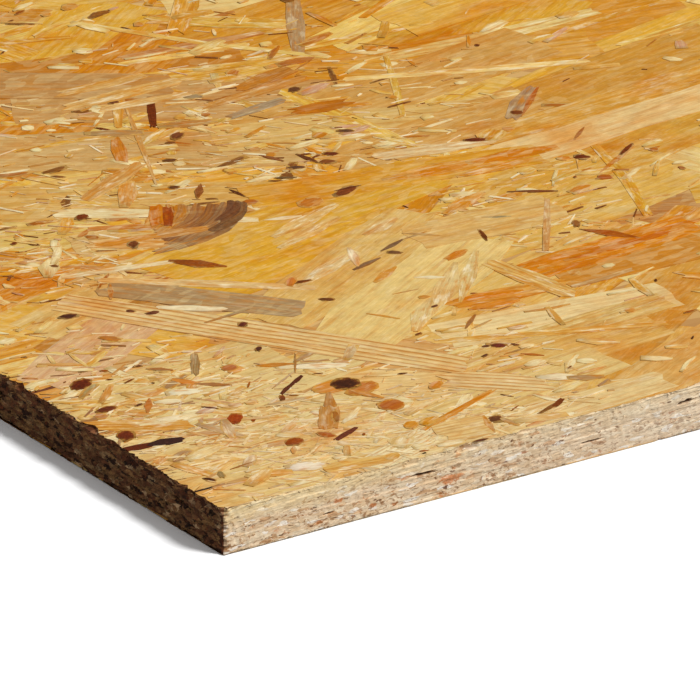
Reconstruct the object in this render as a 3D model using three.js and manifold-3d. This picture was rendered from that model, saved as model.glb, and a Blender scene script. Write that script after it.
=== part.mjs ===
// A full sheet of oriented strand board (OSB/3), lying flat, as it leaves the panel saw.
// The board is one pressed slab. What gives it its form is the saw: four square cut edges
// with pockets between the cut strand ends, strands torn out of the long arrises, and four
// worn upright corners. Millimetres, +X along the face strands, +Z up, Z = 0 on the underside.

import * as THREE from 'three';
import { mergeVertices } from 'three/addons/utils/BufferGeometryUtils.js';
import Module from 'manifold-3d';

// The sheet.
const SHEET_LENGTH = 2440;
const SHEET_WIDTH = 1220;
const SHEET_THICKNESS = 18;

// One pressed strand, as it shows in a cut edge.
const STRAND_THICKNESS = 0.7;

// Pockets between strand ends: flat lenses that narrow inwards, open on the sawn edge.
const POCKET_PITCH = 52;
const POCKET_LENGTH_MIN = 4;
const POCKET_LENGTH_MAX = 14;
const POCKET_HEIGHT_MIN = 0.8;
const POCKET_HEIGHT_MAX = 1.7;
const POCKET_DEPTH_MIN = 1.6;
const POCKET_DEPTH_MAX = 4.6;
const POCKET_INNER_SHARE = 0.45;
const POCKET_LEAN_MAX_DEG = 5;
const POCKET_SIDES = 6;
const SOUND_SKIN = 4;

// Strands torn out of the arrises: each leaves a flat floor one or more strands deep. A cut
// across the strands tears out more of them than one that runs along them. The lower arris
// lay on the saw's table, which kept its chips few, small and one strand deep.
const CHIP_PITCH_ALONG = 36;
const CHIP_PITCH_ACROSS = 22;
const CHIP_PITCH_LOWER = 150;
const CHIP_LENGTH_MIN = 4;
const CHIP_LENGTH_MAX = 15;
const CHIP_REACH_MIN = 0.7;
const CHIP_REACH_MAX = 3.0;
const CHIP_STRANDS_MAX = 3;
const LOWER_CHIP_SHARE = 0.5;
const CHIP_SKEW_MAX = 0.5;

// Inner side of a chip's outline, as shares of half its length and of its reach.
const CHIP_INNER_SIDE = [[0.35, 0.8], [-0.1, 1], [-0.45, 0.45]];

// Worn upright corners: each strand layer has broken back by its own amount.
const CORNER_LAYERS = 11;
const CORNER_WEAR_MIN = 0.35;
const CORNER_WEAR_MAX = 2.4;
const CORNER_CLEAR = 14;

// A cutter reaches this far outside the board, so that no cut ends on a face.
const OVERCUT = 1;

// Corners of a geometry that lie closer than this are one corner of the solid.
const WELD = 1e-4;

const wasm = await Module();
wasm.setup();

// Evenly scattered fractions: multiples of an irrational step, one step for each trait.
const TRAIT_STEPS = [0.6180339887, 0.7548776662, 0.5698402910, 0.8191725134, 0.6710436067, 0.5497004779];
const TRAIT_SHIFT = 0.137;

// Index at which each kind of loss starts, and how far on it starts from edge to edge.
const FIRST_INDEX = { corner: 5, pocket: 17, upperChip: 41, lowerChip: 89 };
const EDGE_INDEX_STEP = 211;

// Part of its pitch in which a place along an edge may fall.
const PLACE_FROM = 0.2;
const PLACE_TO = 0.8;

function fraction(index, trait) {
  return (index * TRAIT_STEPS[trait] + TRAIT_SHIFT * (trait + 1)) % 1;
}

function between(low, high, share) {
  return low + (high - low) * share;
}

// A closed three.js geometry becomes a solid.
function solid(geometry) {
  const bare = geometry.clone();
  bare.deleteAttribute('normal');
  bare.deleteAttribute('uv');
  const merged = mergeVertices(bare, WELD);
  return new wasm.Manifold(new wasm.Mesh({
    numProp: 3,
    vertProperties: new Float32Array(merged.attributes.position.array),
    triVerts: new Uint32Array(merged.index.array),
  }));
}

// A solid becomes a three.js geometry again.
function geometryOf(body) {
  const mesh = body.getMesh();
  const geometry = new THREE.BufferGeometry();
  geometry.setAttribute('position', new THREE.BufferAttribute(mesh.vertProperties, 3));
  geometry.setIndex(new THREE.BufferAttribute(mesh.triVerts, 1));
  geometry.computeVertexNormals();
  return geometry;
}

// The four sawn edges: two cut along the face strands, two across them. Each has its own
// frame: +X runs along the edge, +Y points into the board and +Z up, with the origin at the
// middle of the edge, on the underside.
const ALONG_CUT = { length: SHEET_LENGTH, half: SHEET_WIDTH / 2, chipPitch: CHIP_PITCH_ALONG };
const ACROSS_CUT = { length: SHEET_WIDTH, half: SHEET_LENGTH / 2, chipPitch: CHIP_PITCH_ACROSS };
const EDGES = [
  { ...ALONG_CUT, turn: 0 },
  { ...ACROSS_CUT, turn: Math.PI / 2 },
  { ...ALONG_CUT, turn: Math.PI },
  { ...ACROSS_CUT, turn: -Math.PI / 2 },
];

function edgeFrame(edge) {
  const frame = new THREE.Matrix4().makeRotationZ(edge.turn);
  return frame.multiply(new THREE.Matrix4().makeTranslation(0, -edge.half, 0));
}

// Places along an edge, one in each pitch, clear of both corners.
function placesAlong(edge, pitch, firstIndex, trait) {
  const run = edge.length - 2 * CORNER_CLEAR;
  const count = Math.floor(run / pitch);
  const step = run / count;
  return Array.from({ length: count }, (_, i) => ({
    index: firstIndex + i,
    along: -run / 2 + step * (i + between(PLACE_FROM, PLACE_TO, fraction(firstIndex + i, trait))),
  }));
}

// A pocket: a six-sided lens in section, tapering to its inner end, leaning a little with
// the strands that it lies between.
function pocket(index, along) {
  const length = between(POCKET_LENGTH_MIN, POCKET_LENGTH_MAX, fraction(index, 1));
  const height = between(POCKET_HEIGHT_MIN, POCKET_HEIGHT_MAX, fraction(index, 2));
  const depth = between(POCKET_DEPTH_MIN, POCKET_DEPTH_MAX, fraction(index, 3));
  const lean = between(-1, 1, fraction(index, 4)) * THREE.MathUtils.degToRad(POCKET_LEAN_MAX_DEG);
  const room = SHEET_THICKNESS / 2 - SOUND_SKIN;
  const z = SHEET_THICKNESS / 2 + room * between(-1, 1, fraction(index, 5));
  const outer = 1 + (1 - POCKET_INNER_SHARE) * OVERCUT / depth;
  const lens = new THREE.CylinderGeometry(POCKET_INNER_SHARE, outer, depth + OVERCUT, POCKET_SIDES);
  lens.rotateY(Math.PI / 2);
  lens.scale(length / 2, 1, height / 2);
  lens.translate(0, (depth - OVERCUT) / 2, 0);
  lens.rotateY(lean);
  lens.translate(along, 0, z);
  return lens;
}

// A chip: the outline of the lost piece of strand, ragged on its inner side, cut down from
// the upper face or up from the lower one by whole strands.
function chip(index, along, fromTop) {
  const share = fromTop ? 1 : LOWER_CHIP_SHARE;
  const half = share * between(CHIP_LENGTH_MIN, CHIP_LENGTH_MAX, fraction(index, 1)) / 2;
  const reach = share * between(CHIP_REACH_MIN, CHIP_REACH_MAX, fraction(index, 2) ** 2);
  const strands = fromTop ? 1 + Math.floor(CHIP_STRANDS_MAX * fraction(index, 3)) : 1;
  const skew = between(-CHIP_SKEW_MAX, CHIP_SKEW_MAX, fraction(index, 4));
  const outline = new THREE.Shape([
    new THREE.Vector2(-half, -OVERCUT),
    new THREE.Vector2(half, -OVERCUT),
    new THREE.Vector2(half, 0),
    ...CHIP_INNER_SIDE.map(([x, y]) => new THREE.Vector2(half * (x + skew), reach * y)),
    new THREE.Vector2(-half, 0),
  ]);
  const depth = strands * STRAND_THICKNESS + OVERCUT;
  const piece = new THREE.ExtrudeGeometry(outline, { depth, bevelEnabled: false });
  const floor = fromTop ? SHEET_THICKNESS - strands * STRAND_THICKNESS : -OVERCUT;
  piece.translate(along, 0, floor);
  return piece;
}

// The wear of one upright corner: a three-sided bar for each layer, as deep as that layer
// has broken back. The corner is at the start of its edge's frame.
function cornerWear(edge, firstIndex) {
  const layer = SHEET_THICKNESS / CORNER_LAYERS;
  return Array.from({ length: CORNER_LAYERS }, (_, i) => {
    const index = firstIndex + i;
    const alongEdge = between(CORNER_WEAR_MIN, CORNER_WEAR_MAX, fraction(index, 1));
    const intoBoard = between(CORNER_WEAR_MIN, CORNER_WEAR_MAX, fraction(index, 2));
    const outline = new THREE.Shape([
      new THREE.Vector2(-OVERCUT, -OVERCUT),
      new THREE.Vector2(alongEdge * (1 + OVERCUT / intoBoard), -OVERCUT),
      new THREE.Vector2(-OVERCUT, intoBoard * (1 + OVERCUT / alongEdge)),
    ]);
    const low = i === 0 ? -OVERCUT : i * layer;
    const high = i === CORNER_LAYERS - 1 ? SHEET_THICKNESS + OVERCUT : (i + 1) * layer;
    const bar = new THREE.ExtrudeGeometry(outline, { depth: high - low, bevelEnabled: false });
    bar.translate(-edge.length / 2, 0, low);
    return bar;
  });
}

// Everything that is missing from one edge and from the corner where it starts, in place.
function lossesOf(edge, number) {
  const first = number * EDGE_INDEX_STEP;
  const pockets = placesAlong(edge, POCKET_PITCH, first + FIRST_INDEX.pocket, 0).map(
    (place) => pocket(place.index, place.along));
  const upperChips = placesAlong(edge, edge.chipPitch, first + FIRST_INDEX.upperChip, 5).map(
    (place) => chip(place.index, place.along, true));
  const lowerChips = placesAlong(edge, CHIP_PITCH_LOWER, first + FIRST_INDEX.lowerChip, 5).map(
    (place) => chip(place.index, place.along, false));
  const wear = cornerWear(edge, first + FIRST_INDEX.corner);
  const losses = [...pockets, ...upperChips, ...lowerChips, ...wear];
  const frame = edgeFrame(edge);
  return losses.map((loss) => solid(loss.applyMatrix4(frame)));
}

// The board: the pressed slab, trimmed to size, less what the saw tore out of its edges.
function board() {
  const slab = new THREE.BoxGeometry(SHEET_LENGTH, SHEET_WIDTH, SHEET_THICKNESS);
  slab.translate(0, 0, SHEET_THICKNESS / 2);
  const losses = EDGES.flatMap(lossesOf);
  return losses.reduce((body, loss) => body.subtract(loss), solid(slab));
}

const pressedWood = new THREE.MeshStandardMaterial({ color: '#d9ae6c', roughness: 0.72, metalness: 0 });
const osbPanel = new THREE.Mesh(geometryOf(board()), pressedWood);
osbPanel.name = 'osb_panel';

const sheet = new THREE.Group();
sheet.add(osbPanel);

export default sheet;
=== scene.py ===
"""Looks of one full sheet of oriented strand board, lying flat on a pale floor.

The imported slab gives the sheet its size. Both faces are laid strand by strand: each strand is a thin closed flake with
its own grain, tint and growth rings, pressed in among the others. The four sawn edges are closed bars whose outer side
carries the cut strand ends, the pockets between them and the torn arrises. Lengths are in metres, and MM turns
millimetres into them. Places on the sheet are counted from its near corner, where X and Y are least.
"""

import math
from collections import namedtuple
from functools import partial, reduce

import bpy
import numpy as np
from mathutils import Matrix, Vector


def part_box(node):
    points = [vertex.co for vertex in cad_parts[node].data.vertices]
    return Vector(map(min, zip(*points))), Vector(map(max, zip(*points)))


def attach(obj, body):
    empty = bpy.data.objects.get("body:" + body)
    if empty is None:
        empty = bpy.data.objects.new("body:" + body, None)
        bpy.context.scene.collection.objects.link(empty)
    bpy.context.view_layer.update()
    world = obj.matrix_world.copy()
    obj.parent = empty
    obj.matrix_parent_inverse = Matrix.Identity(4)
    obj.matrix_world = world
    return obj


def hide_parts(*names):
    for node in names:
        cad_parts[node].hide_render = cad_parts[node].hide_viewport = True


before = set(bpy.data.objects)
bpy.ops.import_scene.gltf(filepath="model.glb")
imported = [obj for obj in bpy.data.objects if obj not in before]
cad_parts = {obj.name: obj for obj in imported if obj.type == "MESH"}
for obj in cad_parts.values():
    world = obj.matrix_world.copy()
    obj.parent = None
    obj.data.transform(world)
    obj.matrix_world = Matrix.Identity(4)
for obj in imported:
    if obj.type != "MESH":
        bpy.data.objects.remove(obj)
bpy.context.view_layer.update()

MM = 0.001
LOW, HIGH = (np.array(corner, float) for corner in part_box("osb_panel"))
LENGTH, WIDTH, THICKNESS = HIGH - LOW
CENTRE = (LOW + HIGH) / 2

# The face strands are pressed into this depth. What shows between them is the pressed core.
RELIEF = 0.44 * MM
# The uppermost strands are pressed in by larger steps, all of them together this far, and about this many strands
# deep. The rest of the relief is shared evenly among the whole pile.
TOP_SINK, TOP_PILE = 0.10 * MM, 7
# Bits are laid no more than this many strands deep.
DEEPEST_BIT = 26
# Grid on which the strands are laid, about as fine as the gaps that show.
LAY_CELL = 3.0 * MM
# Each face is laid in this many parts along and across the sheet.
TILES = (3, 2)
# A UV map keeps this far from the sides of its square.
MAP_MARGIN = 0.002


def srgb(code):
    """A colour written as sRGB hex, as linear red, green and blue."""
    parts = np.array([int(code[i:i + 2], 16) for i in (1, 3, 5)]) / 255
    return np.where(parts <= 0.04045, parts / 12.92, ((parts + 0.055) / 1.055) ** 2.4)


def mesh_piece(name, points, loops, starts, material):
    """A flat-faced piece from whole arrays: its points, the corners of all its faces in a row, and where in that row
    each face starts."""
    mesh = bpy.data.meshes.new(name)
    mesh.vertices.add(len(points))
    mesh.vertices.foreach_set("co", np.asarray(points, np.float32).ravel())
    mesh.loops.add(len(loops))
    mesh.loops.foreach_set("vertex_index", np.asarray(loops, np.int32))
    mesh.polygons.add(len(starts))
    mesh.polygons.foreach_set("loop_start", np.asarray(starts, np.int32))
    mesh.update(calc_edges=True)
    mesh.shade_flat()
    piece = bpy.data.objects.new(name, mesh)
    bpy.context.scene.collection.objects.link(piece)
    mesh.materials.append(material)
    return piece


def write_attribute(piece, name, values, domain="POINT"):
    """Stores one number, vector or colour to each point or face."""
    values = np.asarray(values, np.float32)
    kind, key = {1: ("FLOAT", "value"), 3: ("FLOAT_VECTOR", "vector"), 4: ("FLOAT_COLOR", "color")}[
        1 if values.ndim == 1 else values.shape[1]]
    piece.data.attributes.new(name, kind, domain).data.foreach_set(key, values.ravel())


def write_map(piece, places):
    """Stores a UV map named OFBake for the sheet's textures."""
    layer = piece.data.uv_layers.new(name="OFBake")
    layer.data.foreach_set("uv", np.asarray(places, np.float32).ravel())


# What the saw left along the edges, the same as in the solid, in millimetres.

# Length, half of the sheet across it, and turn of each edge: front, right, back, left.
EDGES = ((LENGTH, WIDTH / 2, 0.0), (WIDTH, LENGTH / 2, math.pi / 2),
         (LENGTH, WIDTH / 2, math.pi), (WIDTH, LENGTH / 2, -math.pi / 2))
SIDES = ("front", "right", "back", "left")
STRAND = 0.7
POCKET_PITCH, POCKET_LENGTH, POCKET_HEIGHT, POCKET_DEPTH = 52, (4, 14), (0.8, 1.7), (1.6, 4.6)
POCKET_LEAN_DEG, POCKET_INNER_SHARE, SOUND_SKIN = 5, 0.45, 4
# Chips in a cut along the strands, in one across them, and in the lower arris of either.
CHIP_PITCHES = (36, 22, 150)
CHIP_LENGTH, CHIP_REACH, CHIP_STRANDS, CHIP_SKEW = (4, 15), (0.7, 3.0), 3, (-0.5, 0.5)
LOWER_CHIP_SHARE = 0.5
CORNER_LAYERS, CORNER_WEAR, CORNER_CLEAR = 11, (0.35, 2.4), 14
# Evenly scattered fractions, the indices at which each kind of loss starts, and the part of its pitch in which a
# place may fall.
TRAIT_STEPS = (0.6180339887, 0.7548776662, 0.5698402910, 0.8191725134, 0.6710436067, 0.5497004779)
TRAIT_SHIFT = 0.137
EDGE_INDEX_STEP, FIRST_CORNER, FIRST_POCKET, FIRST_UPPER_CHIP, FIRST_LOWER_CHIP = 211, 5, 17, 41, 89
PLACE_IN_PITCH = (0.2, 0.8)

# How ragged the arris is: upper in a cut along the strands and in one across them, and lower.
ARRIS_ROUGHNESS = (0.6, 1.9, 0.2)
# Torn fibres differ from one course of this height to the next.
COURSE, COURSES = 0.53 * MM, 36
# Random lines along an edge run this far to both sides of its middle. The torn one: size and pitches in millimetres.
KNOTS_REACH = 1.3
TORN_SIZE, TORN_PITCHES = 0.28, (9.0, 3.1, 1.3)


def fraction(index, trait):
    """Evenly scattered fractions: multiples of an irrational step, one step to each trait."""
    return (index * TRAIT_STEPS[trait] + TRAIT_SHIFT * (trait + 1)) % 1


def between(low, high, share):
    return low + (high - low) * share


def to_sheet(number, along, into):
    """Points given along an edge and into the board, as X and Y on the sheet."""
    _, half, turn = EDGES[number]
    c, s = round(math.cos(turn)), round(math.sin(turn))
    return np.stack([CENTRE[0] + along * c - (into - half) * s,
                     CENTRE[1] + along * s + (into - half) * c], -1)


def to_edge(number, x, y):
    """X and Y on the sheet, as places along an edge and into the board."""
    _, half, turn = EDGES[number]
    c, s = round(math.cos(turn)), round(math.sin(turn))
    x, y = x - CENTRE[0], y - CENTRE[1]
    return x * c + y * s, y * c - x * s + half


def places_along(number, pitch, first, trait):
    """Indices and places along an edge, one to each pitch, clear of both corners."""
    run = EDGES[number][0] - 2 * CORNER_CLEAR * MM
    count = int(run // (pitch * MM))
    steps = np.arange(count)
    index = number * EDGE_INDEX_STEP + first + steps
    return index, -run / 2 + run / count * (steps + between(*PLACE_IN_PITCH, fraction(index, trait)))


def chip_inset(number, along, below, top):
    """How far the torn arris stands back at these places, this far below the face."""
    pitch = CHIP_PITCHES[number % 2 if top else 2]
    index, places = places_along(number, pitch, FIRST_UPPER_CHIP if top else FIRST_LOWER_CHIP, 5)
    share = 1.0 if top else LOWER_CHIP_SHARE
    half = share * between(*CHIP_LENGTH, fraction(index, 1)) / 2 * MM
    reach = share * between(*CHIP_REACH, fraction(index, 2) ** 2) * MM
    strands = 1 + np.floor(CHIP_STRANDS * fraction(index, 3)) * top
    skew = between(*CHIP_SKEW, fraction(index, 4))
    inset = np.zeros(np.broadcast(along, below).shape)
    for place, h, r, n, k in zip(places, half, reach, strands, skew):
        # The inner side of its outline, as shares of half its length and of its reach.
        line = np.interp(along - place, np.array([-1, k - 0.45, k - 0.1, k + 0.35, 1]) * h,
                         np.array([0, 0.45, 1, 0.8, 0]) * r)
        inset = np.maximum(inset, line * (below < n * STRAND * MM))
    return inset


def pocket_depth(number, along, height):
    """Depth of the pockets that the saw opened between strand ends: six-sided lenses."""
    index, places = places_along(number, POCKET_PITCH, FIRST_POCKET, 0)
    length = between(*POCKET_LENGTH, fraction(index, 1)) * MM
    tall = between(*POCKET_HEIGHT, fraction(index, 2)) * MM
    deep = between(*POCKET_DEPTH, fraction(index, 3)) * MM
    lean = np.radians(POCKET_LEAN_DEG) * between(-1, 1, fraction(index, 4))
    middle = THICKNESS / 2 + (THICKNESS / 2 - SOUND_SKIN * MM) * between(-1, 1, fraction(index, 5))
    depth = np.zeros(along.shape)
    for p, l, t, d, a, m in zip(places, length, tall, deep, lean, middle):
        off = np.hypot((along - p) / l, (height - m + (along - p) * a) / t) * 2
        depth = np.maximum(depth, d * np.clip((1 - off) / (1 - POCKET_INNER_SHARE), 0, 1))
    return depth


def worn_legs(number, height):
    """How far the corner where an edge starts has broken back at each height, along that edge and into the board: its
    layer's wear, and fibres frayed by up to another millimetre."""
    number = number % 4
    fray = np.random.default_rng((number, 7)).random((2, COURSES)) ** 2 * MM
    course = np.clip(height / COURSE, 0, COURSES - 1).astype(int)
    layer = np.clip(height / THICKNESS * CORNER_LAYERS, 0, CORNER_LAYERS - 1).astype(int)
    index = number * EDGE_INDEX_STEP + FIRST_CORNER + layer
    return [between(*CORNER_WEAR, fraction(index, 1 + way)) * MM + fray[way][course] for way in (0, 1)]


def knotted(along, pitch, draw):
    """Runs straight from one random value to the next, a pitch apart along an edge."""
    knots = np.arange(-KNOTS_REACH, KNOTS_REACH, pitch * MM)
    return np.interp(along, knots, draw(len(knots)))


def ragged(number, along, seed):
    """A torn line: noise of three lengths along an edge, never below nought."""
    rng = np.random.default_rng((number, seed))
    return np.abs(sum(knotted(along, pitch, partial(rng.normal, 0, TORN_SIZE)) * MM for pitch in TORN_PITCHES))


def arris_inset(number, along, top):
    """How far the face strands are torn back from an edge: the ragged line, the chips and, at both ends, the worn
    corners."""
    rough = ARRIS_ROUGHNESS[number % 2 if top else 2]
    inset = np.maximum(ragged(number, along, int(top)) * rough, chip_inset(number, along, 0.0, top))
    half, height = EDGES[number][0] / 2, np.array(THICKNESS if top else 0.0)
    a, b = worn_legs(number, height)
    inset = np.maximum(inset, b * (1 - np.clip((along + half) / a, 0, 1)))
    b, a = worn_legs(number + 1, height)
    return np.maximum(inset, b * (1 - np.clip((half - along) / a, 0, 1)))


# Strands.

# Pine and spruce as they come out of the press, and how much of a face each tint covers.
WOOD_TINTS = {"#e8ca80": 0.09, "#e4be68": 0.16, "#dfb04e": 0.21, "#dba43e": 0.18, "#d69838": 0.14, "#cf8c34": 0.09,
    "#d08628": 0.05, "#b9762c": 0.03, "#c68e58": 0.03, "#a8845a": 0.02}
CHIP_TINTS = {"#eed8a0": 0.22, "#e6c478": 0.22, "#deae52": 0.19, "#d6983a": 0.13, "#cc8430": 0.09, "#b46a2c": 0.08,
    "#cc9a78": 0.04, "#94602e": 0.04}
SLIVER_TINTS = {"#f0deb0": 0.34, "#e0b46a": 0.22, "#cf9240": 0.22, "#b4702c": 0.14, "#925a2e": 0.04, "#a98558": 0.04}
FINE_TINTS = {"#f2e0b8": 0.16, "#eed6a2": 0.26, "#e2bc70": 0.2, "#d49c48": 0.12, "#b87a34": 0.09, "#8c5228": 0.08,
    "#cfa480": 0.05}
BARK_TINTS = {"#4e2614": 0.26, "#74371a": 0.26, "#a8561f": 0.24, "#90592a": 0.18, "#3a2418": 0.06}

TRAITS = np.dtype([(trait, "f8") for trait in ("x", "y", "turn", "length", "width", "bow", "order", "rings", "pitch",
                                               "seed", "soft")] + [("tint", "f8", 3)])

# Each cut of strand: points along each side, points across each end, how far the sides draw in at the ends, how far
# they wander, how ragged the ends are as a share of the width, how far the outline is pressed into what lies round it,
# and how many samples along and across it are taken to find what lies under it.
Cut = namedtuple("Cut", "stations teeth taper wander ragged soft footprint")
CUTS = {
    "broad": Cut(4, 3, 0.10, 0.05, 0.24, 0.0, (58, 18)),
    "clean": Cut(5, 3, 0.18, 0.06, 0.30, 0.0, (58, 18)),
    "narrow": Cut(3, 2, 0.35, 0.10, 0.60, 0.0, (40, 6)),
    "chip": Cut(3, 0, 0.45, 0.22, 0.0, 0.7, (10, 4)),
    "fine": Cut(2, 1, 0.35, 0.25, 0.9, 0.2, (6, 2)),
    "sliver": Cut(3, 0, 0.75, 0.12, 0.0, 0.4, (20, 2)),
    "fleck": Cut(4, 1, 0.50, 0.16, 0.40, 0.6, (5, 3)),
    "knot": Cut(7, 1, 0.68, 0.07, 0.10, 0.6, (8, 8)),
}

# Each sort that is thrown over the sheet: shortest, longest, narrowest and widest in millimetres, strands to a square
# metre on the upper face and on the underside, where in the pile they lie, the spread of their lie about the sheet's
# length in degrees, the share of them that lies in drifts and how much of that share lies in those by the near corner.
Mat = namedtuple("Mat", "size dense pile spread in_drifts by_corner tints")
MATS = {
    "broad": Mat((70, 150, 14, 48), (1350, 1000), (0.0, 1.0), 30, 0.0, 0.0, WOOD_TINTS),
    "narrow": Mat((30, 100, 3.5, 13), (860, 420), (0.3, 1.2), 34, 0.2, 0.08, WOOD_TINTS),
    "chip": Mat((3.5, 19, 1.3, 6.5), (2700, 500), (0.8, 1.45), 36, 0.75, 0.17, CHIP_TINTS),
    "fine": Mat((1.6, 12, 0.4, 1.9), (1500, 100), (1.1, 1.49), 24, 0.9, 0.62, FINE_TINTS),
    "sliver": Mat((5, 26, 0.5, 1.5), (420, 240), (0.7, 1.45), 36, 0.6, 0.12, SLIVER_TINTS),
    "fleck": Mat((1.4, 6.0, 0.7, 2.4), (330, 160), (0.9, 1.45), 50, 0.7, 0.12, BARK_TINTS),
}
# Fines gather in drifts. By the near corner: X and Y of the middle and spread in millimetres, and weight.
DRIFTS, DRIFT_SPREADS = 70, (0.025, 0.09)
NEAR_DRIFTS = ((38, 92, 30, 17), (60, 36, 34, 14), (20, 60, 24, 6), (120, 14, 26, 8), (150, 75, 28, 4),
               (190, 270, 45, 6), (150, 325, 38, 4), (250, 290, 40, 3), (110, 250, 26, 4),
               (235, 165, 26, 5), (95, 215, 30, 7), (205, 240, 30, 5))
# Sapwood is commoner by that corner: X and Y of the middle and spread in millimetres, share and tint.
SAPWOOD = (92, 8, 90, 0.70, "#efdcae")
# Where the mat swirled as it was laid: X and Y of the middle and spread in millimetres, and how far the strands there
# are turned, in degrees.
SWIRLS = ((160, 310, 90, -34), (88, 216, 58, -30), (60, 45, 80, -13), (250, 250, 50, -12))


# How far a strand's tint is off in lightness, at most by so much, and in each of red, green and blue.
TINT_SPREAD, TINT_LIMITS, HUE_SPREAD = 0.05, (0.85, 1.15), 0.015


def tinted(tints, count, rng):
    """Linear colours drawn from a table of tints by their shares, each a little off."""
    codes, shares = zip(*tints.items())
    pick = rng.choice(len(codes), count, p=np.array(shares) / sum(shares))
    colours = np.array([srgb(code) for code in codes])[pick]
    lighter = rng.normal(1, TINT_SPREAD, (count, 1)).clip(*TINT_LIMITS)
    return colours * lighter * rng.normal(1, HUE_SPREAD, (count, 3))


def spots(strands, x, y, reach):
    """1 in the middle of a round spot by the near corner, given in millimetres, falling off as a bell round it."""
    off = np.hypot(strands["x"] - LOW[0] - x * MM, strands["y"] - LOW[1] - y * MM) / (reach * MM)
    return np.exp(-off ** 2)


# Powers that favour short and slim strands, and strong rings in few of them; the strongest rings and their pitch;
# how far a strand bends, as a share of its length; and the power by which wide drifts hold more.
SHORT_POWER, SLIM_POWER, RINGS_POWER, RINGS_MOST, RING_PITCHES = 1.3, 1.6, 3, 0.5, (1.8, 6.0)
BEND, DRIFT_POWER = 0.02, 1.5


def scatter(sort, per_square_metre, rng):
    """Strands of one sort thrown over the whole sheet: even chance everywhere but for the drifts, sizes by a power law
    that favours the small end, and a lie that falls off from the sheet's length."""
    mat = MATS[sort]
    count = int(per_square_metre * LENGTH * WIDTH)
    short, long, thin, wide = np.array(mat.size) * MM
    strands = np.zeros(count, TRAITS)
    for way, axis in enumerate("xy"):
        strands[axis] = rng.uniform(LOW[way] - short / 3, HIGH[way] + short / 3, count)
    near = np.array(NEAR_DRIFTS)
    middles = np.concatenate([LOW[:2] + near[:, :2] * MM, rng.uniform(LOW[:2], HIGH[:2], (DRIFTS, 2))])
    spreads = np.concatenate([near[:, 2] * MM, rng.uniform(*DRIFT_SPREADS, DRIFTS)])
    far = spreads[len(near):] ** DRIFT_POWER
    shares = np.concatenate([near[:, 3] / near[:, 3].sum() * mat.by_corner, far / far.sum() * (1 - mat.by_corner)])
    drift = rng.choice(len(middles), count, p=shares)
    drifted = rng.random(count) < mat.in_drifts
    there = middles[drift] + rng.normal(0, 1, (count, 2)) * spreads[drift][:, None]
    for way, axis in enumerate("xy"):
        strands[axis] = np.where(drifted, there[:, way], strands[axis])
    strands["turn"] = np.radians(rng.normal(0, mat.spread, count))
    for *spot, turned in SWIRLS:
        strands["turn"] += math.radians(turned) * spots(strands, *spot)
    strands["length"] = between(short, long, rng.random(count) ** SHORT_POWER)
    strands["width"] = between(thin, wide, rng.random(count) ** SLIM_POWER)
    strands["bow"] = rng.normal(0, BEND, count) * strands["length"] * (sort != "broad")
    strands["order"] = rng.uniform(*mat.pile, count)
    *spot, share, code = SAPWOOD
    pale = share * spots(strands, *spot)[:, None] * (mat.tints is not BARK_TINTS)
    strands["tint"] = between(tinted(mat.tints, count, rng), srgb(code), pale)
    strands["rings"] = rng.random(count) ** RINGS_POWER * RINGS_MOST
    strands["pitch"] = rng.uniform(*RING_PITCHES, count) * MM
    strands["seed"] = rng.random(count)
    strands["soft"] = CUTS[sort].soft
    return strands


# The ragged ends of a strand reach no farther in than they would on one twice this wide. The points of its sides slip
# along it by this share of that reach, and the teeth of its ends stand between these shares of it.
RAGGED_WIDTH, SLIP, TEETH = 6 * MM, 0.35, (-1.0, 1.3)


def outlines(strands, cut, rng):
    """Cut outline of each strand in its own frame, as (strand, point, along and across). A side's half width at t from
    -1 to 1 is 1 - taper * t^4 of the full one, with a small wander. An end runs across in teeth that reach past the
    sides' ends or fall short."""
    count, stations, teeth = len(strands), cut.stations, cut.teeth
    half_length = strands["length"][:, None] / 2
    half_width = strands["width"][:, None] / 2
    t = np.linspace(-1, 1, stations)
    reach = np.minimum(half_width, RAGGED_WIDTH) * cut.ragged

    def side(sign):
        along = half_length * t + rng.normal(0, SLIP, (count, stations)) * reach
        across = sign * half_width * (1 - cut.taper * t ** 4 + rng.normal(0, cut.wander, (count, stations)))
        return np.stack([along, across], -1)

    def end(sign):
        step = (np.arange(teeth) + 1) / (teeth + 1) * 2 - 1
        across = sign * half_width * (1 - cut.taper) * step * np.ones((count, 1))
        along = sign * (half_length + reach * rng.uniform(*TEETH, (count, teeth)))
        return np.stack([along, across], -1)

    return np.concatenate([side(-1), end(1), side(1)[:, ::-1], end(-1)], axis=1)


def lie(strands, local):
    """Points of each strand's own frame on the sheet: bowed, turned and moved to its place."""
    half = strands["length"][:, None] / 2
    along, across = local[..., 0], local[..., 1]
    across = across + strands["bow"][:, None] * ((along / half) ** 2 - 0.5)
    c, s = np.cos(strands["turn"])[:, None], np.sin(strands["turn"])[:, None]
    return np.stack([strands["x"][:, None] + along * c - across * s,
                     strands["y"][:, None] + along * s + across * c], -1)


# The outermost samples of a strand lie this far out, as a share of its half length and width.
OUTERMOST = 0.98


def cells_under(strands, footprint, shape):
    """Cells of the laying grid that each strand covers, as flat numbers (strand, sample)."""
    u, v = (np.linspace(-OUTERMOST, OUTERMOST, n) for n in footprint)
    grid = np.stack(np.meshgrid(u, v, indexing="ij"), -1).reshape(1, -1, 2)
    half = np.stack([strands["length"], strands["width"]], -1)[:, None] / 2
    cell = ((lie(strands, grid * half) - LOW[:2]) / LAY_CELL).astype(int)
    cell = np.clip(cell, 0, np.array(shape) - 1)
    return cell[..., 0] * shape[1] + cell[..., 1]


# A broad strand is hidden when this share of it is covered by broad ones, and a bit when this share is.
BROAD_HIDDEN, BIT_HIDDEN = 0.99, 0.9


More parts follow.
